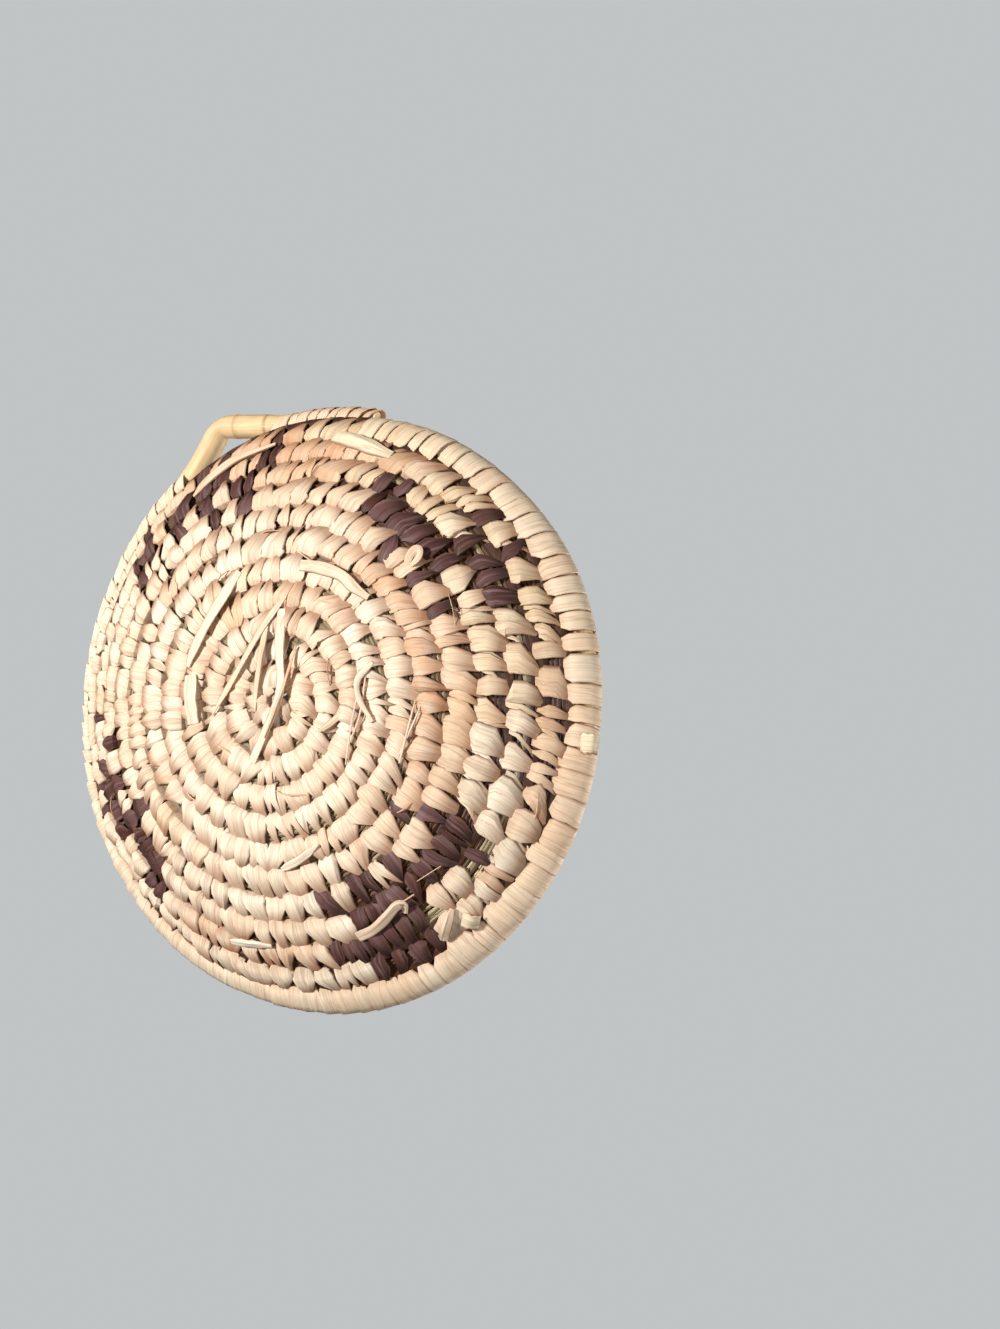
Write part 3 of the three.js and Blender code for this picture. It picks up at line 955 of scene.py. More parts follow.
@dataclass(frozen=True)
class Stitch(Strip):
    """One stitch round its row, from its hook inside it over the underside and back."""

    steps: ClassVar[int] = 13
    start: ClassVar[float] = 0.06
    back: ClassVar[tuple[float, ...]] = (3.14, 3.55, 4.0, 4.5, 5.0, 5.5, 6.2)
    outer_steps: ClassVar[Span] = (0.4, 0.75)
    least_inside: ClassVar[float] = 0.5
    least_corner: ClassVar[float] = 0.1
    most_waist: ClassVar[float] = 0.9
    waist_gap: ClassVar[float] = 0.3
    axis_room: ClassVar[float] = 0.6
    half_thickness: ClassVar[float] = 0.14
    inner_share: ClassVar[float] = 0.4
    fold_limit: ClassVar[float] = 0.72
    least_taper: ClassVar[float] = 0.08
    bow_power: ClassVar[float] = 0.6
    bow_lean: ClassVar[float] = 0.35
    ripple: ClassVar[float] = 0.02
    ripple_rate: ClassVar[float] = 8.3
    # Painted shade: darker towards the outer end, which the next row covers, and at the inner tip, which
    # dives under the row before
    under_shade_from: ClassVar[float] = -1.6
    under_shade_run: ClassVar[float] = 3.2
    under_shade_power: ClassVar[float] = 1.5
    tip_shade: ClassVar[float] = 0.5
    tip_run: ClassVar[float] = 1.1

    shape: StitchShape
    spacing: float
    width: float
    shift: float
    slant: float
    inner_start: float
    bevel: float
    inner_skew: float
    outer_skew: float
    waist: float
    outer_taper: float
    back_taper: float
    crown: float
    fold: float
    fold_run: float
    tilt: float
    lift: float
    pitch: float
    reach: float

    def path(self) -> Path:
        """Lay the stitch.

        Returns:
            The path round the row.
        """
        shape = self.shape
        room = WALL.distance(self.turn) + shape.crest - self.axis_room
        inner = min(shape.inner_reach + self.reach, room)
        phase = self._phases(inner)
        front = phase <= math.pi
        cosine, sine = np.cos(phase), np.sin(phase)
        across = shape.crest - np.where(cosine > 0.0, inner, shape.outer_reach) * cosine
        power = np.where(cosine > 0.0, shape.powers[0], shape.powers[1])
        swell = np.abs(sine) ** power * (1.0 + shape.bulge * cosine)
        rise = shape.height + self.lift + np.where(front, self.pitch * cosine, 0.0)
        depth = -np.sign(sine) * rise * swell
        near = np.clip((across - shape.crest + inner - shape.hidden) / self.bevel, 0.0, 1.0)
        rounding = self.inner_start + (1.0 - self.inner_start) * near
        far = np.clip((across - self.waist) / (shape.crest + shape.outer_reach - self.waist), 0.0, 1.0)
        taper = 1.0 - (1.0 - np.where(front, self.outer_taper, self.back_taper)) * far
        skew = 0.5 * self.width * (self.inner_skew * (1.0 - rounding) + self.outer_skew * (1.0 - taper))
        lean = np.where(across < shape.crest, self.inner_share, 1.0) * self.slant * (across - shape.crest)
        outer_lean = self.slant * shape.outer_reach
        inner_lean = self.spacing - self.inner_share * self.slant * inner
        back = ease((phase - math.pi) / math.pi)
        advance = np.where(front, lean, outer_lean + (inner_lean - outer_lean) * back) + self.shift
        step = WALL.turn_step(self.turn)
        turn = self.turn + (advance + skew) * step
        middle = WALL.coil(turn, across, depth)
        run = WALL.coil(self.turn + advance * step, across, depth)
        angle = WALL.angle(turn)
        tangent = np.stack([-np.sin(angle), np.cos(angle), np.zeros_like(angle)], 1)
        ahead = unit(np.gradient(run, axis=0))
        across_strip = unit(tangent - ahead * np.sum(tangent * ahead, 1)[:, None])
        outward = np.cross(across_strip, ahead)
        bow = np.abs(sine) ** self.bow_power * (1.0 + self.bow_lean * cosine)
        ripple = 1.0 + self.ripple * np.sin(self.ripple_rate * phase + self.tone.grain)
        # Painted shade under the next row and at the inner tip, on the front only
        under = shape.painted_shade * ease((across - self.under_shade_from) / self.under_shade_run) ** self.under_shade_power
        tip = self.tip_shade * (1.0 - ease((across - shape.crest + inner) / self.tip_run))
        return Path(
            middle,
            across_strip,
            outward,
            half_width=0.5 * self.width * rounding * np.maximum(taper, self.least_taper) * ripple,
            half_thickness=np.full(len(phase), self.half_thickness),
            crown=self.crown * bow,
            tilt=self.tilt * bow,
            fold=np.clip(self.fold + self.fold_run * cosine, -self.fold_limit, self.fold_limit),
            painted_shade=np.where(front, np.maximum(under, tip), 0.0),
        )

    def _phases(self, inner: float) -> Array:
        """Set the steps round the row, with a step at each corner of the outline.

        Args:
            inner: Reach of the stitch from its crest towards the middle.

        Returns:
            The angle of each step round the row.
        """
        shape = self.shape
        inside = max(inner - shape.hidden, self.least_inside * inner) / inner
        corner = max(inner - shape.hidden - self.bevel, self.least_corner * inner) / inner
        waist = shape.crest - self.waist
        first = math.acos(inside)
        second = math.acos(corner)
        side = waist / (inner if waist > 0.0 else shape.outer_reach)
        third = max(math.acos(min(side, self.most_waist)), second + self.waist_gap)
        outer = [third + share * (math.pi - third) for share in self.outer_steps]
        return np.array([self.start, first, second, 0.5 * (second + third), third, *outer, *self.back])


@dataclass(frozen=True)
class Tail(Strip):
    """A loose end of a splint that lies over the sewing."""

    steps: ClassVar[int] = 20
    rest_depth: ClassVar[float] = 2.75
    width_places: ClassVar[tuple[float, ...]] = (0.0, 0.14, 0.72, 1.0)
    narrowed: ClassVar[float] = 0.92
    ripple: ClassVar[float] = 0.05
    ripple_rate: ClassVar[float] = 17.0
    bow_from: ClassVar[float] = 0.08
    most_thick: ClassVar[float] = 0.16
    thick_share: ClassVar[float] = 0.4

    marks: tuple[Triple, ...]  # distance along the wall, degrees, clearance
    width: float
    ends: Span
    crown: float
    fold: float
    tilt: float

    def path(self) -> Path:
        """Lay the tail.

        Returns:
            The path over the sewing.
        """
        distance, degrees, clear = np.array(self.marks).T
        points = WALL.place(distance, np.radians(degrees), -self.rest_depth - clear)
        middle = flowing_line(points, self.steps + 1)
        outward = WALL.normal(middle)
        ahead = unit(np.gradient(middle, axis=0))
        across = unit(np.cross(outward, ahead))
        share = np.linspace(0.0, 1.0, self.steps + 1)
        width = np.interp(share, self.width_places, (self.ends[0], 1.0, self.narrowed, self.ends[1]))
        width = width * (1.0 + self.ripple * np.sin(self.ripple_rate * share + self.tone.grain))
        curl = self.tilt * np.sin(math.pi * share)
        bow = self.crown * np.sin(math.pi * np.clip(share, self.bow_from, 1.0 - self.bow_from))
        thickness = np.full(self.steps + 1, min(self.most_thick, self.thick_share * self.width))
        fold = np.full(self.steps + 1, self.fold)
        return Path(middle, across, outward, 0.5 * self.width * width, thickness, bow, curl, fold)


# Loose ends: marks, width, shares of the width at the ends, crown, fold, tilt, pale, green, rust
LOOSE_ENDS = (
    (((33.4, 90.0, 0.2), (28.4, 74.0, 0.9), (26.4, 58.0, 1.0), (26.1, 46.0, 0.8), (26.3, 39.0, 0.2)),
     3.4, (0.6, 0.3), 0.3, 0.4, 0.4, 0.8, 0.1, 0.0),
    (((25.5, 115.3, 0.0), (18.4, 99.5, 0.5), (13.2, 73.0, 0.8), (13.6, 29.0, 0.6), (17.5, 9.0, 0.2)),
     2.2, (0.5, 0.12), 0.3, 0.5, 0.5, 0.6, 0.0, 0.2),
    (((18.6, 102.9, 0.4), (11.8, 94.6, 1.1), (5.2, 56.8, 1.0), (5.0, -5.4, 0.4)),
     1.8, (0.7, 0.1), 0.25, 0.5, 0.3, 0.5, 0.0, 0.15),
    (((22.4, 114.0, 0.0), (16.9, 115.8, 0.6), (11.3, 120.0, 0.8), (6.1, 135.9, 0.9), (2.2, 179.2, 0.9),
      (4.9, -65.6, 0.8), (11.1, -52.8, 0.5), (15.4, -49.5, 0.0)),
     2.9, (0.8, 0.7), 0.3, 0.55, 0.4, 0.8, 0.0, 0.05),
    (((14.9, 135.2, 0.6), (5.7, 154.2, 1.6), (2.5, -122.1, 1.9), (8.3, -62.8, 1.3)),
     0.9, (0.5, 0.2), 0.2, 0.3, 0.2, 0.4, 0.0, 0.5),
    (((24.8, 35.3, 0.2), (23.4, 21.2, 0.7), (23.1, 6.7, 0.3)),
     4.2, (0.8, 0.8), 0.5, -0.3, 0.2, 0.6, 0.0, 0.0),
    (((32.8, 120.5, 0.4), (33.4, 130.0, 0.9), (34.1, 140.0, 1.0), (33.8, 148.0, 0.9), (34.4, 155.0, 0.2)),
     3.1, (0.9, 0.5), 0.4, 0.4, 0.2, 0.5, 0.05, 0.0),
    (((66.9, 115.5, 0.4), (65.8, 120.0, 0.9), (64.8, 125.0, 0.9), (64.4, 131.0, 0.2)),
     4.4, (0.8, 0.6), 0.6, 0.4, 0.3, 0.9, 0.5, 0.0),
    (((63.2, 77.3, 0.3), (64.4, 81.1, 0.7), (65.5, 86.2, 0.9), (66.5, 91.2, 0.8), (67.2, 100.4, 0.2)),
     2.4, (0.5, 0.4), 0.4, 0.4, 0.4, 0.35, 0.0, 0.25),
    (((19.2, 207.0, 0.3), (17.1, 215.5, 0.7), (14.8, 226.0, 0.4)),
     1.8, (0.4, 0.2), 0.4, 0.4, 0.2, 0.6, 0.0, 0.4),
    (((28.3, 180.1, 0.2), (24.1, 186.6, 0.9), (24.2, 197.6, 0.9), (27.5, 208.1, 0.4)),
     1.9, (0.5, 0.5), 0.5, 0.4, 0.3, 0.8, 0.0, 0.2),
    (((38.5, 285.0, 0.2), (36.7, 276.0, 0.7), (34.8, 267.0, 0.3)),
     2.0, (0.5, 0.2), 0.3, 0.5, 0.2, 0.8, 0.0, 0.0),
    (((60.1, 305.0, 0.3), (58.4, 299.0, 0.7), (57.9, 293.0, 0.3)),
     2.2, (0.6, 0.4), 0.4, 0.5, 0.2, 0.9, 0.0, 0.0),
    (((57.6, 268.8, 0.3), (57.2, 264.5, 0.9), (56.6, 261.4, 1.1), (55.7, 258.0, 1.4), (55.0, 254.9, 1.5),
      (55.8, 253.4, 1.2), (57.6, 255.0, 0.3)),
     2.7, (0.9, 0.5), 0.5, 0.4, 0.3, 0.55, 0.0, 0.2),
    (((45.6, 155.5, 0.2), (47.2, 154.5, 0.9), (48.7, 154.4, 1.2), (49.4, 155.2, 1.3), (48.7, 156.2, 1.1),
      (47.3, 156.7, 0.8), (46.0, 156.4, 0.2)),
     2.1, (0.8, 0.6), 0.5, 0.4, 0.5, 0.35, 0.0, 0.1),
    (((72.6, 206.0, 0.6), (74.6, 205.8, 1.5), (76.4, 205.8, 1.3)),
     4.9, (0.8, 0.9), 0.8, 0.3, 0.2, 1.0, 0.6, 0.0),
    (((66.8, 246.8, 0.4), (68.4, 245.9, 1.1), (70.2, 245.0, 0.6)),
     4.0, (0.9, 0.9), 0.4, 0.3, 0.2, 0.7, 0.35, 0.0),
    (((67.9, 253.0, 0.2), (65.8, 250.2, 0.9), (63.6, 246.4, 0.2)),
     2.7, (0.5, 0.4), 0.4, 0.4, 0.3, 0.5, 0.0, 0.1),
    (((25.7, 181.0, 0.3), (23.2, 200.0, 0.8), (23.0, 217.7, 0.8), (24.9, 233.6, 0.3)),
     0.45, (0.6, 0.4), 0.1, 0.0, 0.0, 0.8, 0.0, 0.1),
    (((26.4, 183.0, 0.3), (24.4, 205.0, 0.7), (23.6, 224.0, 0.6)),
     0.4, (0.6, 0.4), 0.1, 0.0, 0.0, 0.7, 0.0, 0.2),
    (((36.1, 221.0, 0.3), (36.2, 209.0, 0.9), (37.2, 198.0, 0.3)),
     0.5, (0.6, 0.3), 0.1, 0.0, 0.0, 0.7, 0.0, 0.2),
    (((35.4, 219.0, 0.3), (36.9, 208.0, 0.8), (38.4, 200.0, 0.3)),
     0.4, (0.6, 0.3), 0.1, 0.0, 0.0, 0.9, 0.0, 0.0),
)


# Sewing


# Dyed stitches of the four motifs: row, from and to in degrees behind the start of the scale, and lean
DYED_STITCHES = (
    (6, 26.2, 30.3, 0.0), (6, 37.5, 42.3, 0.15), (6, 50.5, 55.5, -0.8),
    (7, 37.0, 41.2, 0.3), (7, 41.5, 47.3, 0.4), (7, 47.3, 52.0, 0.55), (7, 52.0, 58.2, 0.6),
    (7, 58.4, 64.5, 0.9), (7, 64.6, 68.2, 0.3),
    (8, 22.3, 27.6, 0.8), (8, 28.2, 32.2, 0.3), (8, 32.2, 36.4, 0.4), (8, 38.2, 42.3, 0.1),
    (8, 59.6, 64.0, -0.4), (8, 65.0, 68.8, 0.0),
    (9, 32.2, 35.3, -0.4), (9, 41.0, 44.8, 0.5),
    (7, 103.8, 109.3, 0.2), (7, 115.2, 119.3, -0.3),
    (8, 104.0, 107.5, 0.0), (8, 107.6, 111.2, 0.3), (8, 117.2, 122.4, -0.2), (8, 127.8, 131.5, -0.6),
    (8, 144.2, 148.3, 0.2),
    (9, 98.0, 101.0, 0.1), (9, 101.0, 104.2, 0.3), (9, 111.6, 116.6, 0.4), (9, 117.0, 122.0, 0.2),
    (9, 124.2, 130.0, 0.8), (9, 137.8, 142.4, 0.3), (9, 144.6, 147.2, -0.1),
    (10, 98.0, 101.2, 0.1), (10, 112.2, 115.5, -0.2), (10, 118.0, 122.5, -0.2), (10, 137.5, 140.8, 0.0),
    (7, 210.3, 214.8, 0.0),
    (8, 189.0, 193.2, 0.1), (8, 199.6, 204.4, 0.0), (8, 210.0, 214.8, 0.2), (8, 215.5, 219.8, 0.1),
    (8, 219.8, 223.0, 0.5), (8, 223.2, 229.5, 0.8),
    (9, 182.2, 185.4, 0.0), (9, 194.0, 198.8, 0.2), (9, 199.5, 204.4, 0.0), (9, 205.0, 209.8, 0.3),
    (9, 210.2, 215.4, 0.2), (9, 225.4, 229.0, 0.6), (9, 229.0, 232.5, 0.6),
    (10, 199.0, 201.0, 0.0), (10, 204.0, 207.2, 0.1),
    (6, 322.0, 326.5, 0.3),
    (7, 284.8, 290.5, -0.7), (7, 296.0, 300.2, -0.1), (7, 300.4, 304.2, -0.4), (7, 309.0, 313.8, 0.2),
    (7, 326.3, 331.4, 0.0),
    (8, 291.6, 295.8, 0.3), (8, 296.0, 300.3, 0.2), (8, 300.6, 304.0, 0.1), (8, 304.2, 308.3, -0.5),
    (8, 309.6, 313.5, 0.3), (8, 313.9, 318.0, 0.0), (8, 318.3, 321.6, -0.5), (8, 322.2, 325.8, 0.3),
    (8, 326.0, 327.6, 0.0), (8, 327.8, 331.9, 0.4),
    (9, 282.2, 285.3, 0.2), (9, 285.5, 287.8, 0.1), (9, 288.0, 290.9, 0.0), (9, 291.0, 293.0, 0.0),
    (9, 293.2, 296.9, 0.1), (9, 297.2, 300.2, 0.0), (9, 300.5, 304.3, 0.2), (9, 304.7, 308.0, 0.2),
    (9, 324.7, 327.6, -0.1),
    (10, 290.0, 293.4, 0.1), (10, 295.0, 297.8, 0.4), (10, 299.0, 303.8, -0.3), (10, 304.0, 307.4, 0.2),
)

# Stretches of the coil that are left bare, in turns
BARE_STRETCHES = ((1.585, 1.618), (8.8865, 8.8955), (8.9035, 8.9105), (8.944, 8.956))


@dataclass(frozen=True)
class SetPlace:
    """A place on the coil that is set: a dyed stitch and its lean, or a bare stretch."""

    first: float
    last: float
    lean: float = 0.0
    bare: bool = False

    @classmethod
    def in_order(cls) -> list["SetPlace"]:
        """List the set places in sewing order.

        Returns:
            Their places along the coil.
        """
        start = WALL.scale_start - WALL.start_angle
        places = [
            cls(row + (start - high) / FULL_TURN, row + (start - low) / FULL_TURN, lean)
            for row, low, high, lean in DYED_STITCHES
        ]
        places += [cls(first, last, bare=True) for first, last in BARE_STRETCHES]
        return sorted(places, key=lambda place: place.first)


@dataclass(frozen=True)
class Cut:
    """How one strip of a stitch is cut and laid."""

    width: float
    slant: float
    crown: float
    shift: float = 0.0
    sink: float = 0.0
    inner: float = 0.3


@dataclass(frozen=True)
class Patch:
    """A part of the basket with looks of its own: its middle and half width, in degrees and in turns."""

    behind: float
    half: float
    turn: float = 0.0
    half_turns: float = math.inf

    def share(self, turn: Number) -> Number:
        """Share, from 0 to 1, by which a place on the coil lies in the patch."""
        return bell(WALL.behind(turn) - self.behind, self.half) * bell(turn - self.turn, self.half_turns)


RIGHT_SIDE = Patch(behind=0.0, half=40.0)
RUSTY_ROWS = Patch(behind=-18.0, half=44.0, turn=5.9, half_turns=0.8)
TAN_ROWS = Patch(behind=92.0, half=34.0, turn=9.6, half_turns=2.3)
OPEN_RIGHT = Patch(behind=5.0, half=40.0)
OPEN_LOW = Patch(behind=-48.0, half=24.0)
PURPLE_STEMS = Patch(behind=-6.0, half=26.0)


@dataclass
class LeafSupply:
    """Hands out the tone of each stitch, one splint making several stitches of like tone."""

    right_pale: ClassVar[tuple[Span, ...]] = (
        (4.8, 0.5), (5.8, 0.35), (6.8, 0.4), (7.8, 0.55), (8.8, 0.72), (9.8, 0.12)
    )
    right_from: ClassVar[float] = 4.5
    usual_pale: ClassVar[float] = 0.62
    most_pale: ClassVar[float] = 0.88
    pale_spread: ClassVar[float] = 0.13
    tan_fade: ClassVar[float] = 0.95
    tan_rust: ClassVar[float] = 0.75
    stitches: ClassVar[tuple[int, int]] = (3, 11)
    green_chance: ClassVar[float] = 0.06
    green_span: ClassVar[Span] = (0.15, 0.35)
    rust_span: ClassVar[Span] = (0.2, 0.6)
    rust_spread: ClassVar[float] = 0.1
    rust_anywhere: ClassVar[float] = 0.03
    rust_in_patch: ClassVar[float] = 0.8

    left: int = 0
    shade: float = 0.0
    green: float = 0.0
    rust: float = 0.0
    luck: float = 1.0

    def tone(self, turn: float) -> Tone:
        """Draw the tone of the next stitch.

        Args:
            turn: Its place on the coil.

        Returns:
            The tone.
        """
        if self.left == 0:
            self.left = int(random.integers(*self.stitches))
            self.shade = self.pale_spread * float(random.normal())
            self.green = between(*self.green_span) if chance(self.green_chance) else 0.0
            self.rust = between(*self.rust_span)
            self.luck = float(random.random())
        self.left -= 1
        right = RIGHT_SIDE.share(turn) * float(turn > self.right_from)
        tan = TAN_ROWS.share(turn)
        usual = self.usual_pale + (follow(turn, self.right_pale) - self.usual_pale) * right
        pale = (usual + self.shade) * (1.0 - self.tan_fade * tan)
        pale = float(np.clip(pale + self.pale_spread * random.normal(), 0.0, self.most_pale))
        rusty = max(RUSTY_ROWS.share(turn), self.tan_rust * tan)
        rust = self.rust if self.luck < self.rust_anywhere + self.rust_in_patch * rusty else 0.0
        rust = float(np.clip(rust + self.rust_spread * random.normal(), 0.0, 1.0))
        return Tone(pale, self.green, rust, between(*GRAIN_SPAN))


@dataclass(frozen=True)
class Fibres:
    """Fine fibres that have split off the splints."""

    count: int = 18
    first_turn: float = 1.5
    rim_room: float = 0.4
    length: Span = (5.0, 11.0)
    rise: Span = (-4.0, 4.0)
    bend: Span = (-0.8, 0.8)
    clear: Span = (0.2, 0.8)
    tucks: Span = (-0.4, -0.3)
    width: Span = (0.2, 0.42)
    ends: Span = (0.7, 0.4)
    crown: float = 0.1
    pale: Span = (0.0, 0.4)
    rust: Span = (0.2, 0.6)

    def strips(self) -> list[Strip]:
        """Lay out all the fibres."""
        return [self._fibre() for _ in range(self.count)]

    def _fibre(self) -> Strip:
        """Draw one fibre, which leaves the sewing and comes back to it.

        Returns:
            The fibre as a thin strip.
        """
        turn = between(self.first_turn, WALL.bundle_turns - self.rim_room)
        distance = WALL.distance(turn)
        degrees = float(WALL.degrees(turn))
        run = math.degrees(between(*self.length) / distance) * (1.0 if chance(0.5) else -1.0)
        rise = between(*self.rise)
        bend = between(*self.bend)
        marks = (
            (distance, degrees, self.tucks[0]),
            (distance + 0.5 * rise + bend, degrees + 0.5 * run, between(*self.clear)),
            (distance + rise, degrees + run, self.tucks[1]),
        )
        tone = Tone(between(*self.pale), 0.0, between(*self.rust), between(*GRAIN_SPAN))
        width = between(*self.width)
        return Tail(turn, LeafKind.NATURAL, tone, marks, width, self.ends, self.crown, fold=0.0, tilt=0.0)


@dataclass
class Sewing:
    """The leaf splints that sew every row to the one inside it, and wrap the rim."""

    first_turn: float = -0.55
    heart_turns: float = 0.16
    end_gap: float = 0.006
    loop_from: float = 74.5
    loop_to: float = 97.5

    # Shares of the spacing within which a set place comes next, or the stitch before it fills the room
    next_reach: float = 0.55
    fill_reach: float = 1.5

    spacing_at: tuple[Span, ...] = ((0.0, 3.6), (3.0, 4.6), (6.0, 5.0), (9.0, 5.5))
    open_spacing: float = 0.3
    rim_spacing: float = 5.2
    tail_spacing: float = 3.3
    spacing_spread: float = 0.2
    spread_limit: float = 1.8

    open_low: float = 0.5
    open_from: float = 44.0
    open_run: float = 14.0

    # Row stitches: cover of their spacing, lean along the row and looseness of the lean
    cover: float = 1.16
    cover_open: float = 0.3
    cover_spread: float = 0.1
    cover_limits: Span = (0.66, 1.4)
    lean: float = 0.13
    lean_swing: float = 0.5
    lean_angle: float = 140.0
    loose: float = 0.18
    loose_open: float = 0.12
    loose_heart: float = 0.2
    loose_turns: float = 2.5
    inner: float = 0.7
    inner_open: float = 0.4
    flat_crown: Span = (0.06, 0.4)
    full_width: float = 4.0
    tilt: Span = (0.19, 0.13)
    least_tilt: float = 0.12

    # Split and folded stitches, strips that lie under them, and dyed stitches
    split_share: float = 0.17
    split_part: Span = (0.36, 0.64)
    split_fan: Span = (0.04, 0.24)
    split_sink: Span = (0.0, 0.3)
    split_crown: float = 0.3
    fold_share: float = 0.42
    fold_width: float = 0.96
    fold_crown: Span = (0.5, 1.0)
    under_share: float = 0.5
    under_anywhere: float = 0.3
    under_width: Span = (1.1, 2.1)
    under_lean: Span = (0.2, 0.7)
    under_crown: float = 0.3
    under_sink: Span = (0.3, 0.6)
    dyed_pale: Span = (0.0, 1.0)
    dyed_rust: Span = (0.0, 0.6)
    dyed_crown: Span = (0.1, 0.8)

    # Wraps of the rim and of the reed's tail
    rim_cover_open: float = 0.22
    rim_cover_spread: float = 0.06
    rim_lean: float = 0.2
    tail_lean: float = 0.5
    rim_loose: float = 0.07
    rim_tilt: Span = (0.24, 0.1)
    end_sink: float = 0.8
    end_run: float = 9.0

    loose_end_turn: float = 0.3
    supply: LeafSupply = field(default_factory=LeafSupply)
    fibres: Fibres = Fibres()

    def strips(self) -> list[Strip]:
        """Lay out every stitch from the middle to the end of the coil, and the loose ends.

        Returns:
            The strips in sewing order.
        """
        result: list[Strip] = []
        edge = self.first_turn
        leave = WALL.last_turn_at(self.loop_from)
        land = WALL.last_turn_at(self.loop_to)
        waiting = SetPlace.in_order()
        while edge < WALL.coil_turns - self.end_gap:
            spacing = self._spacing(edge, land)
            step = WALL.turn_step(edge)
            reach = spacing * step
            if waiting and waiting[0].first < edge + self.next_reach * reach:
                place = waiting.pop(0)
                if not place.bare:
                    result.append(self._dyed_stitch(place))
                edge = max(edge, place.last)
                continue
            if waiting and waiting[0].first < edge + self.fill_reach * reach:
                reach = waiting[0].first - edge
                spacing = reach / step
            turn = edge + 0.5 * reach
            edge += reach
            if turn < WALL.bundle_turns:
                result.extend(self._row_stitch(turn, spacing))
            elif not leave < turn < land:
                result.append(self._rim_stitch(turn, spacing, TAIL_STITCH if turn >= land else RIM_STITCH))
        return result + self._loose_ends() + self.fibres.strips()

    def _spacing(self, turn: float, land: float) -> float:
        """Draw the distance from one stitch to the next.

        Args:
            turn: Place on the coil.
            land: Turn at which the hanging loop comes back to the rim.

        Returns:
            The distance in millimetres.
        """
        if turn < WALL.bundle_turns:
            spacing = follow(turn, self.spacing_at) * (1.0 + self.open_spacing * self._openness(turn))
        else:
            spacing = self.tail_spacing if turn >= land else self.rim_spacing
        spread = float(np.clip(random.normal(), -self.spread_limit, self.spread_limit))
        return spacing * (1.0 + self.spacing_spread * spread)

    def _slant(self, turn: float) -> float:
        """Lean of the stitches along the row for each millimetre outwards, which changes round the basket."""
        return self.lean + self.lean_swing * math.cos(WALL.angle(turn) - math.radians(self.lean_angle))

    def _dyed_stitch(self, dyed: SetPlace) -> Strip:
        """Draw one stitch of a motif.

        Args:
            dyed: Its place and lean.

        Returns:
            The strip.
        """
        turn = 0.5 * (dyed.first + dyed.last)
        width = (dyed.last - dyed.first) / WALL.turn_step(turn)
        tone = Tone(between(*self.dyed_pale), 0.0, between(*self.dyed_rust), between(*GRAIN_SPAN))
        cut = Cut(width, dyed.lean, between(*self.dyed_crown))
        return self._strip(turn, LeafKind.DYED, tone, width, cut)

    def _row_stitch(self, turn: float, spacing: float) -> list[Strip]:
        """Draw one natural stitch of a row, which may be split in two or folded along its length.

        Args:
            turn: Its place on the coil.
            spacing: Distance to the next stitch.

        Returns:
            Its strips.
        """
        open_share = self._openness(turn)
        cover = self.cover - self.cover_open * open_share + self.cover_spread * random.normal()
        width = spacing * float(np.clip(cover, *self.cover_limits))
        heart = max(0.0, 1.0 - turn / self.loose_turns)
        loose = self.loose + self.loose_open * open_share + self.loose_heart * heart
        slant = self._slant(turn) + loose * float(random.normal())
        style = random.random()
        tone = self.supply.tone(turn)
        inner = self.inner - self.inner_open * open_share
        cuts = [Cut(width, slant, between(*self.flat_crown), inner=inner)]
        if style < self.split_share:
            part = between(*self.split_part)
            fan = between(*self.split_fan)
            rest = 1.0 - part
            sink = between(*self.split_sink)
            cuts = [
                Cut(part * width, slant - fan, self.split_crown, shift=-0.5 * width * rest),
                Cut(rest * width, slant + fan, self.split_crown, shift=0.5 * width * part, sink=sink),
            ]
        elif style < self.split_share + self.fold_share:
            cuts = [Cut(self.fold_width * width, slant, between(*self.fold_crown), inner=inner)]
        if chance(self.under_share * (self.under_anywhere + open_share)):
            under = between(*self.under_width)
            lean = slant + between(*self.under_lean)
            sink = between(*self.under_sink)
            cuts.append(Cut(under, lean, self.under_crown, shift=0.5 * spacing, sink=sink))
        return [self._strip(turn, LeafKind.NATURAL, tone, spacing, cut) for cut in cuts]

    def _strip(self, turn: float, kind: LeafKind, tone: Tone, spacing: float, cut: Cut) -> Strip:
        """Draw the shape of one strip of a row's stitch.

        Args:
            turn: Its place on the coil.
            kind: Kind of leaf.
            tone: Its tone.
            spacing: Distance to the next stitch.
            cut: How it is cut and laid.

        Returns:
            The strip.
        """
        fullness = min(1.0, cut.width / self.full_width)
        return Stitch(
            turn=turn,
            kind=kind,
            tone=tone,
            shape=ROW_STITCH,
            spacing=spacing,
            width=cut.width,
            shift=cut.shift,
            slant=cut.slant,
            inner_start=between(cut.inner, 1.0),
            bevel=between(0.7, 2.0),
            inner_skew=between(-1.0, 1.0),
            outer_skew=between(-0.5, 1.0),
            waist=between(-3.2, -0.8),
            outer_taper=between(-0.05, 0.65),
            back_taper=between(0.7, 1.0),
            crown=cut.crown * fullness,
            fold=between(-0.6, 0.6),
            fold_run=between(-0.45, 0.45),
            tilt=max(self.least_tilt, float(random.normal(*self.tilt))) * fullness,
            lift=between(-0.2, 0.2) - cut.sink,
            pitch=between(-0.35, 0.45),
            reach=between(-0.7, 0.5),
        )

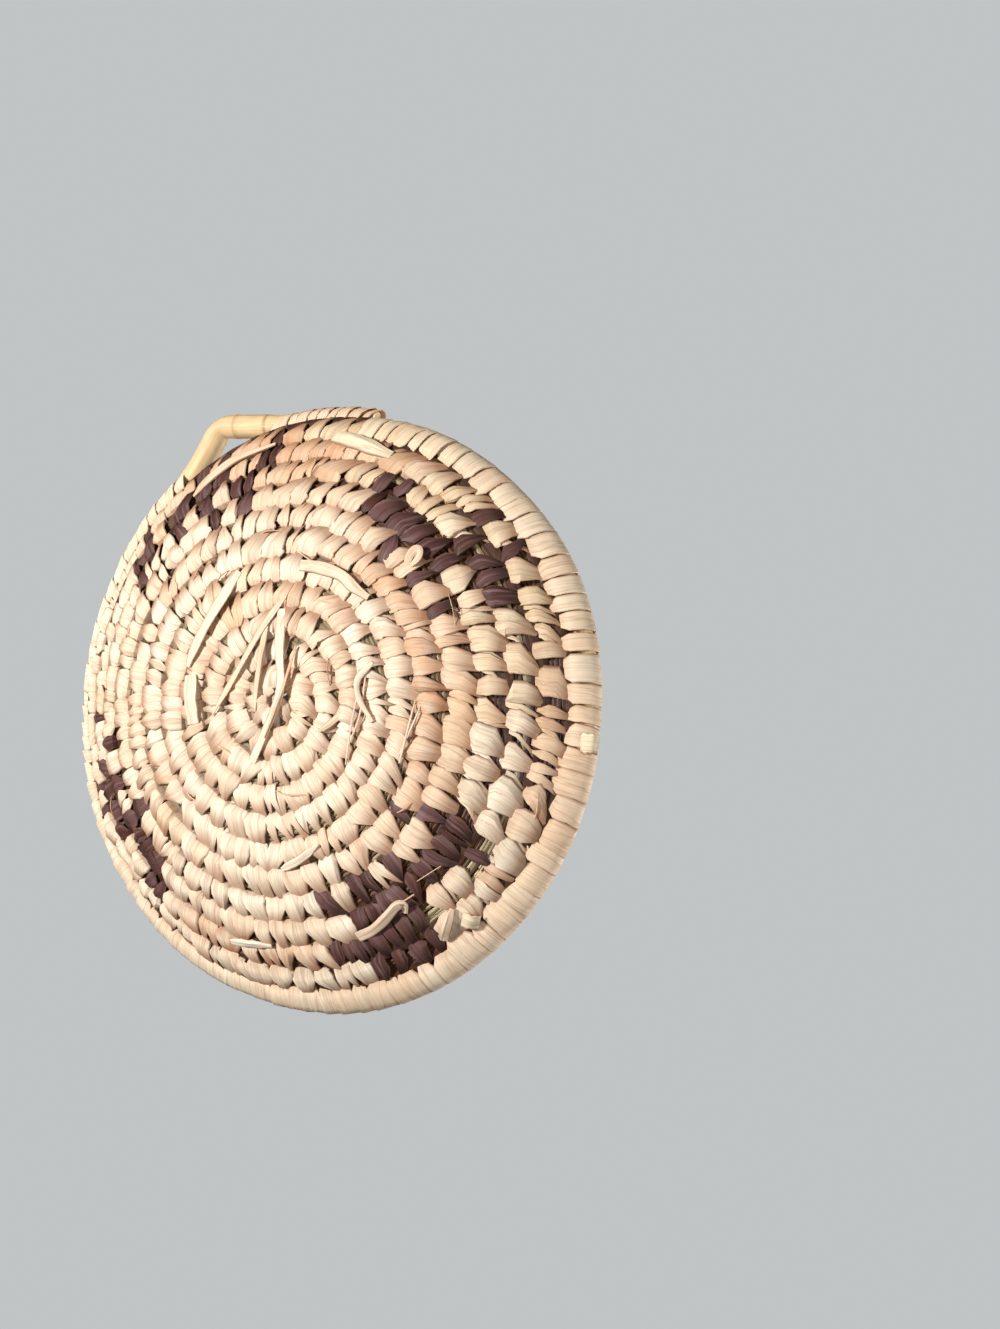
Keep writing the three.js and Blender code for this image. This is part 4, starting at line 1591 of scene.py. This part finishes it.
    def _rim_stitch(self, turn: float, spacing: float, shape: StitchShape) -> Strip:
        """Draw one wrap of the rim.

        Args:
            turn: Its place on the coil.
            spacing: Distance to the next wrap.
            shape: Its outline.

        Returns:
            The strip.
        """
        cover = self.cover - self.rim_cover_open * self._openness(turn)
        cover += self.rim_cover_spread * random.normal()
        lean = self.tail_lean if shape is TAIL_STITCH else self.rim_lean
        left = (WALL.coil_turns - turn) / WALL.turn_step(turn)
        sink = self.end_sink * ease(1.0 - left / self.end_run)
        return Stitch(
            turn=turn,
            kind=LeafKind.RIM,
            tone=self.supply.tone(turn),
            shape=shape,
            spacing=spacing,
            width=spacing * cover,
            shift=0.0,
            slant=lean + float(random.normal(0.0, self.rim_loose)),
            inner_start=0.7,
            bevel=1.4,
            inner_skew=between(-0.8, 0.8),
            outer_skew=between(-0.8, 0.8),
            waist=0.5,
            outer_taper=between(1.0, 1.12),
            back_taper=between(0.95, 1.1),
            crown=between(0.0, 0.16),
            fold=between(-0.5, 0.5),
            fold_run=between(-0.3, 0.3),
            tilt=float(random.normal(*self.rim_tilt)),
            lift=between(-0.08, 0.18) - sink,
            pitch=0.0,
            reach=between(-0.9, 0.7),
        )

    def _openness(self, turn: float) -> float:
        """Share, from 0 to 1, by which the sewing stands open at a place."""
        share = max(OPEN_RIGHT.share(turn), self.open_low * OPEN_LOW.share(turn))
        return share * ease((WALL.distance(turn) - self.open_from) / self.open_run)

    def _loose_ends(self) -> list[Strip]:
        """Lay out the loose ends of the natural splints.

        Returns:
            The loose ends as strips.
        """
        result: list[Strip] = []
        for marks, width, ends, crown, fold, tilt, pale, green, rust in LOOSE_ENDS:
            turn = max(WALL.turn_at(marks[len(marks) // 2][0]), self.loose_end_turn)
            tone = Tone(pale, green, rust, between(*GRAIN_SPAN))
            result.append(Tail(turn, LeafKind.NATURAL, tone, marks, width, ends, crown, fold, tilt))
        return result

    def build(self, materials: dict[LeafKind, bpy.types.Material]) -> None:
        """Sew the basket: each strip joins the splint whose CAD solid is nearest.

        Args:
            materials: Finish of each kind of leaf.
        """
        blanks = {kind: Blank.model(LEAF_PROFILE, kind.steps, creased=True) for kind in (Stitch, Tail)}
        strips = self.strips()
        knot = Bundle()
        for strip in strips:
            if strip.turn < self.heart_turns:
                knot.bend(blanks[type(strip)], strip.path(), strip.tone)
        natural = LeafKind.NATURAL
        knot.piece("heart_of_the_coil", materials[natural], natural.value, ["starting_knot"])
        for kind in LeafKind:
            nodes = kind.nodes()
            groups = {name: Bundle() for name in nodes}
            centres = np.array([self._centre(name, kind) for name in nodes])
            for strip in strips:
                if strip.kind is kind and strip.turn >= self.heart_turns:
                    away = np.linalg.norm(centres - self._place(strip, kind), axis=1)
                    groups[nodes[int(np.argmin(away))]].bend(blanks[type(strip)], strip.path(), strip.tone)
            self._finish_groups(groups, materials[kind], kind)
        log.info("%d strips in all", len(strips))

    @staticmethod
    def _finish_groups(groups: dict[str, Bundle], material: bpy.types.Material, kind: LeafKind) -> None:
        """Write the pieces of one kind of leaf, and hide the nodes that no strip fell to.

        Args:
            groups: Bent strips for each CAD node.
            material: Finish of the leaf.
            kind: Kind of leaf.
        """
        waiting: list[str] = []
        piece = None
        for name, group in groups.items():
            if group.count == 0:
                waiting.append(name)
                continue
            number = name.rsplit("_", 1)[1]
            piece = group.piece(f"{kind.value}_{number}", material, kind.value, [name])
        if piece is not None and waiting:
            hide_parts(*waiting)

    @staticmethod
    def _centre(name: str, kind: LeafKind) -> Array:
        """Middle of a CAD splint: in space for a dyed one, along the coil for the others.

        Args:
            name: Name of the CAD node.
            kind: Kind of leaf.

        Returns:
            The middle in the measure that the kind is sorted by.
        """
        points = np.array([vertex.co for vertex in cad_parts[name].data.vertices]) / MM
        if kind is LeafKind.DYED:
            return points.mean(0)
        return np.array([WALL.turn_at(WALL.spot(points).mean())])

    @staticmethod
    def _place(strip: Strip, kind: LeafKind) -> Array:
        """Place of a strip in the measure that its kind is sorted by.

        Args:
            strip: The strip.
            kind: Kind of leaf.

        Returns:
            Its place, in space for a dyed one and along the coil for the others.
        """
        if kind is LeafKind.DYED:
            return WALL.coil(strip.turn, 0.0, 0.0)
        return np.array([strip.turn])


# Grass rows


@dataclass
class GrassRows:
    """The grass stems that the rows are made of, laid end to end round the coil."""

    strands: int = 14
    stem_length: float = 220.0
    length_spread: Span = (0.7, 1.3)
    step_share: float = 0.09
    least_step: float = 0.5
    stem_radius: Span = (0.42, 0.68)
    end_share: float = 0.4
    stem_gap: float = 0.001
    end_gap: float = 0.01
    half_across: float = 2.35
    half_through: float = 1.15
    shift: float = -0.1
    wander_across: float = 0.22
    across_rate: float = 29.0
    wander_through: float = 0.16
    through_rate: float = 37.0
    steps: int = 48
    sides: int = 5
    first_turn: float = -0.3

    # Stems beside the bundle: those the next row hooks under, those at the inner side, and a last filling
    top_across: float = 3.0
    top_depths: tuple[float, ...] = (-0.8, 0.0, 0.8)
    low_across: float = -3.0
    low_depths: tuple[float, ...] = (-0.75, 0.75)
    low_first: float = 1.0
    fill_across: float = 4.0
    fill_depths: tuple[float, ...] = (-0.9, 0.1, 1.0)
    fill_last: float = 10.44

    # Core that fills the middle of the rows, a little smaller in the last one; its near-black tone, set as
    # rust, is painted shade
    core_sides: int = 8
    core_shift: float = 0.4
    core_across: float = 3.6
    core_through: float = 1.0
    core_tone: Tone = Tone(pale=0.1, rust=0.9, grain=3.0)
    last_shift: float = 0.2
    last_across: float = 3.45
    last_turns: float = 0.95
    last_run: float = 0.1

    # Tones along the stems: green ones, the fresh bare stretch, purple ones and paler inner rows
    green_chance: float = 0.1
    green_span: Span = (0.3, 0.7)
    fresh_turn: float = 8.92
    fresh_half: float = 0.035
    fresh_chance: float = 0.7
    fresh_most: float = 0.95
    fresh_least: float = 0.1
    purple_chance: float = 0.62
    purple_most: Span = (0.5, 1.0)
    purple_least: Span = (0.0, 0.2)
    purple_from: float = 7.0
    purple_run: float = 1.5
    purple_anywhere: float = 0.18
    purple_in_patch: float = 0.9
    paler: float = 0.4
    paler_to: float = 7.0
    paler_run: float = 3.0

    def build(self, material: bpy.types.Material) -> None:
        """Lay the stems of the bundle and the few that the next row is hooked to.

        Args:
            material: Finish of the grass.
        """
        blank = Blank.model(round_profile(self.sides), self.steps)
        bundle = Bundle()
        for strand in range(self.strands):
            phase = TAU * strand / self.strands
            across = self.shift + self.half_across * math.cos(phase)
            depth = self.half_through * math.sin(phase)
            self._strand(bundle, blank, across, depth, self.first_turn, WALL.bundle_turns)
        for depth in self.low_depths:
            self._strand(bundle, blank, self.low_across, depth, self.low_first, WALL.bundle_turns)
        self._core(bundle, Blank.model(round_profile(self.core_sides), self.steps))
        bundle.piece("grass_rows", material, "grass", ["foundation_bundle"])
        top = Bundle()
        for depth in self.top_depths:
            self._strand(top, blank, self.top_across, depth, self.first_turn, WALL.bundle_turns)
        for depth in self.fill_depths:
            self._strand(top, blank, self.fill_across, depth, WALL.bundle_turns - 1.0, self.fill_last)
        top.piece("grass_top_stems", material, "grass", ["top_strand"])

    def _strand(
        self, bundle: Bundle, blank: Blank, across: float, depth: float, first: float, end: float
    ) -> None:
        """Lay one strand as stems that follow each other along the coil.

        Args:
            bundle: Where the bent stems are kept.
            blank: The stem's blank.
            across: Its place across the row.
            depth: Its depth through the row.
            first: Turn at which it starts.
            end: Turn at which it ends.
        """
        turn = first
        while turn < end - self.end_gap:
            radius = float(WALL.radius(WALL.distance(turn)))
            most = self.steps * max(self.least_step, self.step_share * radius)
            length = between(*self.length_spread) * min(self.stem_length, most)
            last = min(WALL.turn_after(turn, length), end)
            turns = np.linspace(turn, last, self.steps + 1)
            wander = between(0.0, TAU)
            side = across + self.wander_across * np.sin(self.across_rate * turns + wander)
            deep = depth + self.wander_through * np.sin(self.through_rate * turns + 2.0 * wander)
            size = np.full(self.steps + 1, between(*self.stem_radius))
            size[[0, -1]] *= self.end_share
            path = Path.tube(WALL.coil(turns, side, deep), size)
            path.shade = self._purple(turns)
            path.green = self._green(turns)
            bundle.bend(blank, path, Tone(0.0, grain=between(*GRAIN_SPAN)))
            turn = last + self.stem_gap

    def _purple(self, turns: Array) -> Array:
        """Share of purple along a stem, which gathers where the rows stand open.

        Args:
            turns: Turns along the stem.

        Returns:
            The share at each.
        """
        near = PURPLE_STEMS.share(turns) * ease((turns - self.purple_from) / self.purple_run)
        amount = between(*self.purple_most) if chance(self.purple_chance) else between(*self.purple_least)
        return np.clip(amount * (self.purple_anywhere + self.purple_in_patch * near), 0.0, 1.0)

    def _green(self, turns: Array) -> Array:
        """Share of green and pale straw along a stem, which is most where the sewing bares fresh stems.

        Args:
            turns: Turns along the stem.

        Returns:
            The share at each.
        """
        share = between(*self.green_span) if chance(self.green_chance) else 0.0
        fresh = self.fresh_most if chance(self.fresh_chance) else self.fresh_least
        green = share + (fresh - share) * bell(turns - self.fresh_turn, self.fresh_half)
        return np.maximum(green, self._paler(turns))

    def _paler(self, turns: Array) -> Array:
        """Share of pale straw along the stems and the core, which the inner rows have more of; it makes the
        painted shade between the stitches lighter there.
        """
        return self.paler * ease((self.paler_to - turns) / self.paler_run)

    def _core(self, bundle: Bundle, blank: Blank) -> None:
        """Fill the middle of the rows with a near-black core, which is painted shade where it shows between
        the stems.

        Args:
            bundle: Where the bent core is kept.
            blank: The core's blank.
        """
        turn = self.first_turn
        while turn < WALL.bundle_turns - self.end_gap:
            last = min(turn + 1.0, WALL.bundle_turns)
            turns = np.linspace(turn, last, self.steps + 1)
            zero = np.zeros_like(turns)
            inside = ease((WALL.bundle_turns - self.last_turns - turns) / self.last_run)
            shift = self.last_shift + (self.core_shift - self.last_shift) * inside
            across = self.last_across + (self.core_across - self.last_across) * inside
            path = Path.tube(WALL.coil(turns, shift, zero), across)
            path.half_thickness = zero + self.core_through
            path.green = self._paler(turns)
            bundle.bend(blank, path, self.core_tone)
            turn = last


# Rim reed


@dataclass
class RimReed:
    """The cane that makes the last row, with the hanging loop bent out of it."""

    radius: float = 2.4
    loop_radius: float = 3.15
    tail_radius: float = 2.0
    offset: float = 0.9
    crest_reach: float = 7.5
    first_foot: float = 75.0
    crest_angle: float = 84.5
    last_foot: float = 98.0
    crest_bend: float = 3.2
    foot_bend: float = 6.0
    rim_points: int = 240
    tail_points: int = 60
    corner_points: int = 17
    steps: int = 320
    sides: int = 16
    grain: float = 5.0

    # The loop is thicker than the rest over a share of its half length, and the tail thins from another
    loop_half: float = 18.6
    thick_to: float = 0.75
    thick_run: float = 0.5
    tail_from: float = 0.8
    end_taper: float = 5.0
    end_size: float = 0.75

    # The fold at the crest is pinched across and stands out through the cane
    fold_half: float = 2.2
    fold_pinch: float = 0.08
    fold_narrow: float = 0.06
    fold_deep: float = 0.12

    # Rings after the crest, each with a dark line beside it
    ring_places: tuple[float, ...] = (5.6, 15.0)
    ring_height: float = 0.12
    ring_width: float = 0.45
    line_gap: float = 0.4
    line_width: float = 0.34
    line_dark: float = 0.85

    def middle_line(self) -> tuple[Array, float]:
        """Trace the middle of the reed along the rim, round the loop and to its tail.

        Returns:
            Close points along the reed, and the length at the loop's crest.
        """
        leave = WALL.last_turn_at(self.first_foot)
        land = WALL.last_turn_at(self.last_foot)
        first = self._rim(leave)
        last = self._rim(land)
        crest = self._rim(WALL.last_turn_at(self.crest_angle))
        crest = crest + self.crest_reach * unit(np.array([crest[0], crest[1], 0.0]))
        bend = self.foot_bend * WALL.turn_step(leave)
        before = self._rim(np.linspace(WALL.bundle_turns, leave - bend, self.rim_points))
        after = self._rim(np.linspace(land + bend, WALL.coil_turns, self.tail_points))
        start, end = (self._towards(crest, foot, self.crest_bend) for foot in (first, last))
        loop = [
            self._corner(before[-1], first, self._towards(first, crest, self.foot_bend)),
            self._corner(start, crest, end),
            self._corner(self._towards(last, crest, self.foot_bend), last, after[0]),
        ]
        line = np.concatenate([before, *loop, after])
        to_crest = np.concatenate([before, loop[0], loop[1][: len(loop[1]) // 2]])
        return line, float(lengths(to_crest)[-1])

    def _rim(self, turns: Number) -> Array:
        """Middle of the reed on the rim row."""
        return WALL.coil(turns, self.offset, 0.0)

    @staticmethod
    def _towards(start: Array, end: Array, length: float) -> Array:
        """The point so far from the start on the way to the end."""
        return start + unit(end - start) * length

    def _corner(self, start: Array, corner: Array, end: Array) -> Array:
        """A rounded corner as close points."""
        share = np.linspace(0.0, 1.0, self.corner_points)[1:-1, None]
        return (1 - share) ** 2 * start + 2 * share * (1 - share) * corner + share**2 * end

    def build(self, material: bpy.types.Material) -> None:
        """Bend the cane along its line, with a fold at the crest and rings at its nodes.

        Args:
            material: Finish of the cane.
        """
        line, crest = self.middle_line()
        length = lengths(line)
        half = self.loop_half
        dense = np.linspace(crest - half, crest + half, self.steps // 2)
        rest = np.linspace(0.0, length[-1], self.steps + 1 - len(dense))
        places = np.sort(np.concatenate([dense, rest]))
        middle = np.stack([np.interp(places, length, line[:, axis]) for axis in range(3)], 1)
        past = places - crest
        near = ease(1.0 - (np.abs(past) - half * self.thick_to) / (half * self.thick_run))
        size = self.radius + (self.loop_radius - self.radius) * near
        tail_start = half * self.tail_from
        tail = ease((past - tail_start) / (length[-1] - crest - tail_start))
        size = size + (self.tail_radius - size) * tail
        fold = bell(past, self.fold_half)
        rings = np.zeros(len(places))
        shade = np.zeros(len(places))
        for ring in self.ring_places:
            rings = rings + bell(past - ring, self.ring_width)
            shade = np.maximum(shade, bell(past - ring - self.line_gap, self.line_width))
        size = size * (1.0 - self.fold_pinch * fold) + self.ring_height * rings
        tip = ease((length[-1] - places) / self.end_taper)
        size = size * (self.end_size + (1.0 - self.end_size) * tip)
        path = Path.tube(middle, size * (1.0 - self.fold_narrow * fold))
        path.half_thickness = size * (1.0 + self.fold_deep * fold)
        path.shade = self.line_dark * shade
        bundle = Bundle()
        bundle.bend(Blank.model(round_profile(self.sides), self.steps), path, Tone(0.0, grain=self.grain))
        bundle.piece("rim_cane", material, "cane", ["rim_reed"])


# Studio


@dataclass(frozen=True)
class Lamp:
    """A square lamp that looks at the basket, in millimetres and watts."""

    aim_height: ClassVar[float] = 12.0

    name: str
    place: Triple
    size: float
    power: float

    def build(self) -> None:
        """Add the lamp, out of the camera's sight."""
        data = bpy.data.lights.new(self.name, "AREA")
        data.size = self.size * MM
        data.energy = self.power
        lamp = bpy.data.objects.new(self.name, data)
        lamp.location = Vector(self.place) * MM
        aim = Vector((0.0, 0.0, self.aim_height * MM)) - lamp.location
        lamp.rotation_euler = aim.to_track_quat("-Z", "Y").to_euler()
        lamp.visible_camera = False
        bpy.context.scene.collection.objects.link(lamp)


LAMPS = (
    Lamp("key", place=(200.0, 190.0, -546.0), size=90.0, power=5.2),
    Lamp("front", place=(-300.0, -260.0, -400.0), size=420.0, power=0.6),
    Lamp("side", place=(-520.0, -190.0, -80.0), size=300.0, power=0.8),
    Lamp("top", place=(-420.0, -380.0, 620.0), size=420.0, power=5.0),
    Lamp("top_fill", place=(500.0, 300.0, 500.0), size=500.0, power=2.0),
)


@dataclass
class Studio:
    """Camera, lamps, world and floor."""

    camera_place: Triple = (-174.6, -74.0, -275.8)
    camera_forward: Triple = (0.379, 0.204, 0.902)
    camera_up: Triple = (-0.340, 0.935, -0.069)
    focal_pixels: float = 1400.0
    image_height: float = 1329.0
    sensor: float = 36.0
    nearest: float = 10.0
    backdrop: Colour = (192, 196, 197)
    ambient: float = 0.05
    floor_colour: Colour = (222, 222, 220)
    floor_size: float = 6000.0
    floor_roughness: float = 0.8
    floor_gloss: float = 0.2

    def build(self) -> None:
        """Set up everything round the basket."""
        self._camera()
        self._world()
        for lamp in LAMPS:
            lamp.build()
        bpy.context.scene.view_settings.view_transform = "Standard"

    def _camera(self) -> None:
        """Put the camera where the photograph was taken from."""
        forward = Vector(self.camera_forward).normalized()
        right = forward.cross(Vector(self.camera_up)).normalized()
        up = right.cross(forward)
        data = bpy.data.cameras.new("camera")
        data.sensor_width = self.sensor
        data.lens = self.sensor * self.focal_pixels / self.image_height
        data.clip_start = self.nearest * MM
        camera = bpy.data.objects.new("camera", data)
        turn = Matrix((right, up, -forward)).transposed().to_4x4()
        camera.matrix_world = Matrix.Translation(Vector(self.camera_place) * MM) @ turn
        bpy.context.scene.collection.objects.link(camera)
        bpy.context.scene.camera = camera

    def _world(self) -> None:
        """Give soft light from all round, and a pale backdrop to the camera."""
        world = bpy.data.worlds.new("studio")
        bpy.context.scene.world = world
        world.use_nodes = True
        tree = Tree(world.node_tree)
        output = tree.add("ShaderNodeOutputWorld")
        light = tree.feed(tree.add("ShaderNodeBackground"), Color=(1.0, 1.0, 1.0, 1.0), Strength=self.ambient)
        shown = tree.feed(tree.add("ShaderNodeBackground"), Color=linear(*self.backdrop), Strength=1.0)
        ray = tree.add("ShaderNodeLightPath")
        choice = tree.add("ShaderNodeMixShader")
        tree.feed(choice, i0=ray.outputs["Is Camera Ray"], i1=light.outputs[0], i2=shown.outputs[0])
        tree.feed(output, Surface=choice.outputs[0])

    def floor(self) -> None:
        """Lay the floor under the lowest point; it is clear from below, and keeps no light from there out."""
        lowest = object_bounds()[0].z
        bpy.ops.object.select_all(action="DESELECT")
        bpy.ops.mesh.primitive_plane_add(size=self.floor_size * MM, location=(0.0, 0.0, lowest))
        floor = bpy.context.object
        floor.name = "floor"
        material = bpy.data.materials.new("floor")
        material.use_nodes = True
        tree = Tree(material.node_tree)
        output = tree.add("ShaderNodeOutputMaterial")
        shader = tree.add("ShaderNodeBsdfPrincipled")
        tree.feed(shader, Base_Color=linear(*self.floor_colour))
        tree.feed(shader, Roughness=self.floor_roughness, Specular_IOR_Level=self.floor_gloss)
        clear = tree.add("ShaderNodeBsdfTransparent")
        side = tree.add("ShaderNodeNewGeometry")
        choice = tree.add("ShaderNodeMixShader")
        tree.feed(choice, i0=side.outputs["Backfacing"], i1=shader.outputs[0], i2=clear.outputs[0])
        tree.feed(output, Surface=choice.outputs[0])
        floor.data.materials.append(material)
        floor.visible_shadow = False
        floor.visible_diffuse = False
        floor.visible_glossy = False
        floor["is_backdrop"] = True


def main() -> None:
    """Build the basket's looks piece by piece."""
    logging.basicConfig(level=logging.INFO, format="%(name)s: %(message)s")
    studio = Studio()
    studio.build()
    grain = grain_group()
    leaves = {LeafKind.NATURAL: NATURAL_FINISH, LeafKind.DYED: DYED_FINISH, LeafKind.RIM: RIM_FINISH}
    GrassRows().build(GRASS_FINISH.build(grain))
    RimReed().build(CANE_FINISH.build(grain))
    Sewing().build({kind: finish.build(grain) for kind, finish in leaves.items()})
    studio.floor()


if __name__ == "__main__":
    main()
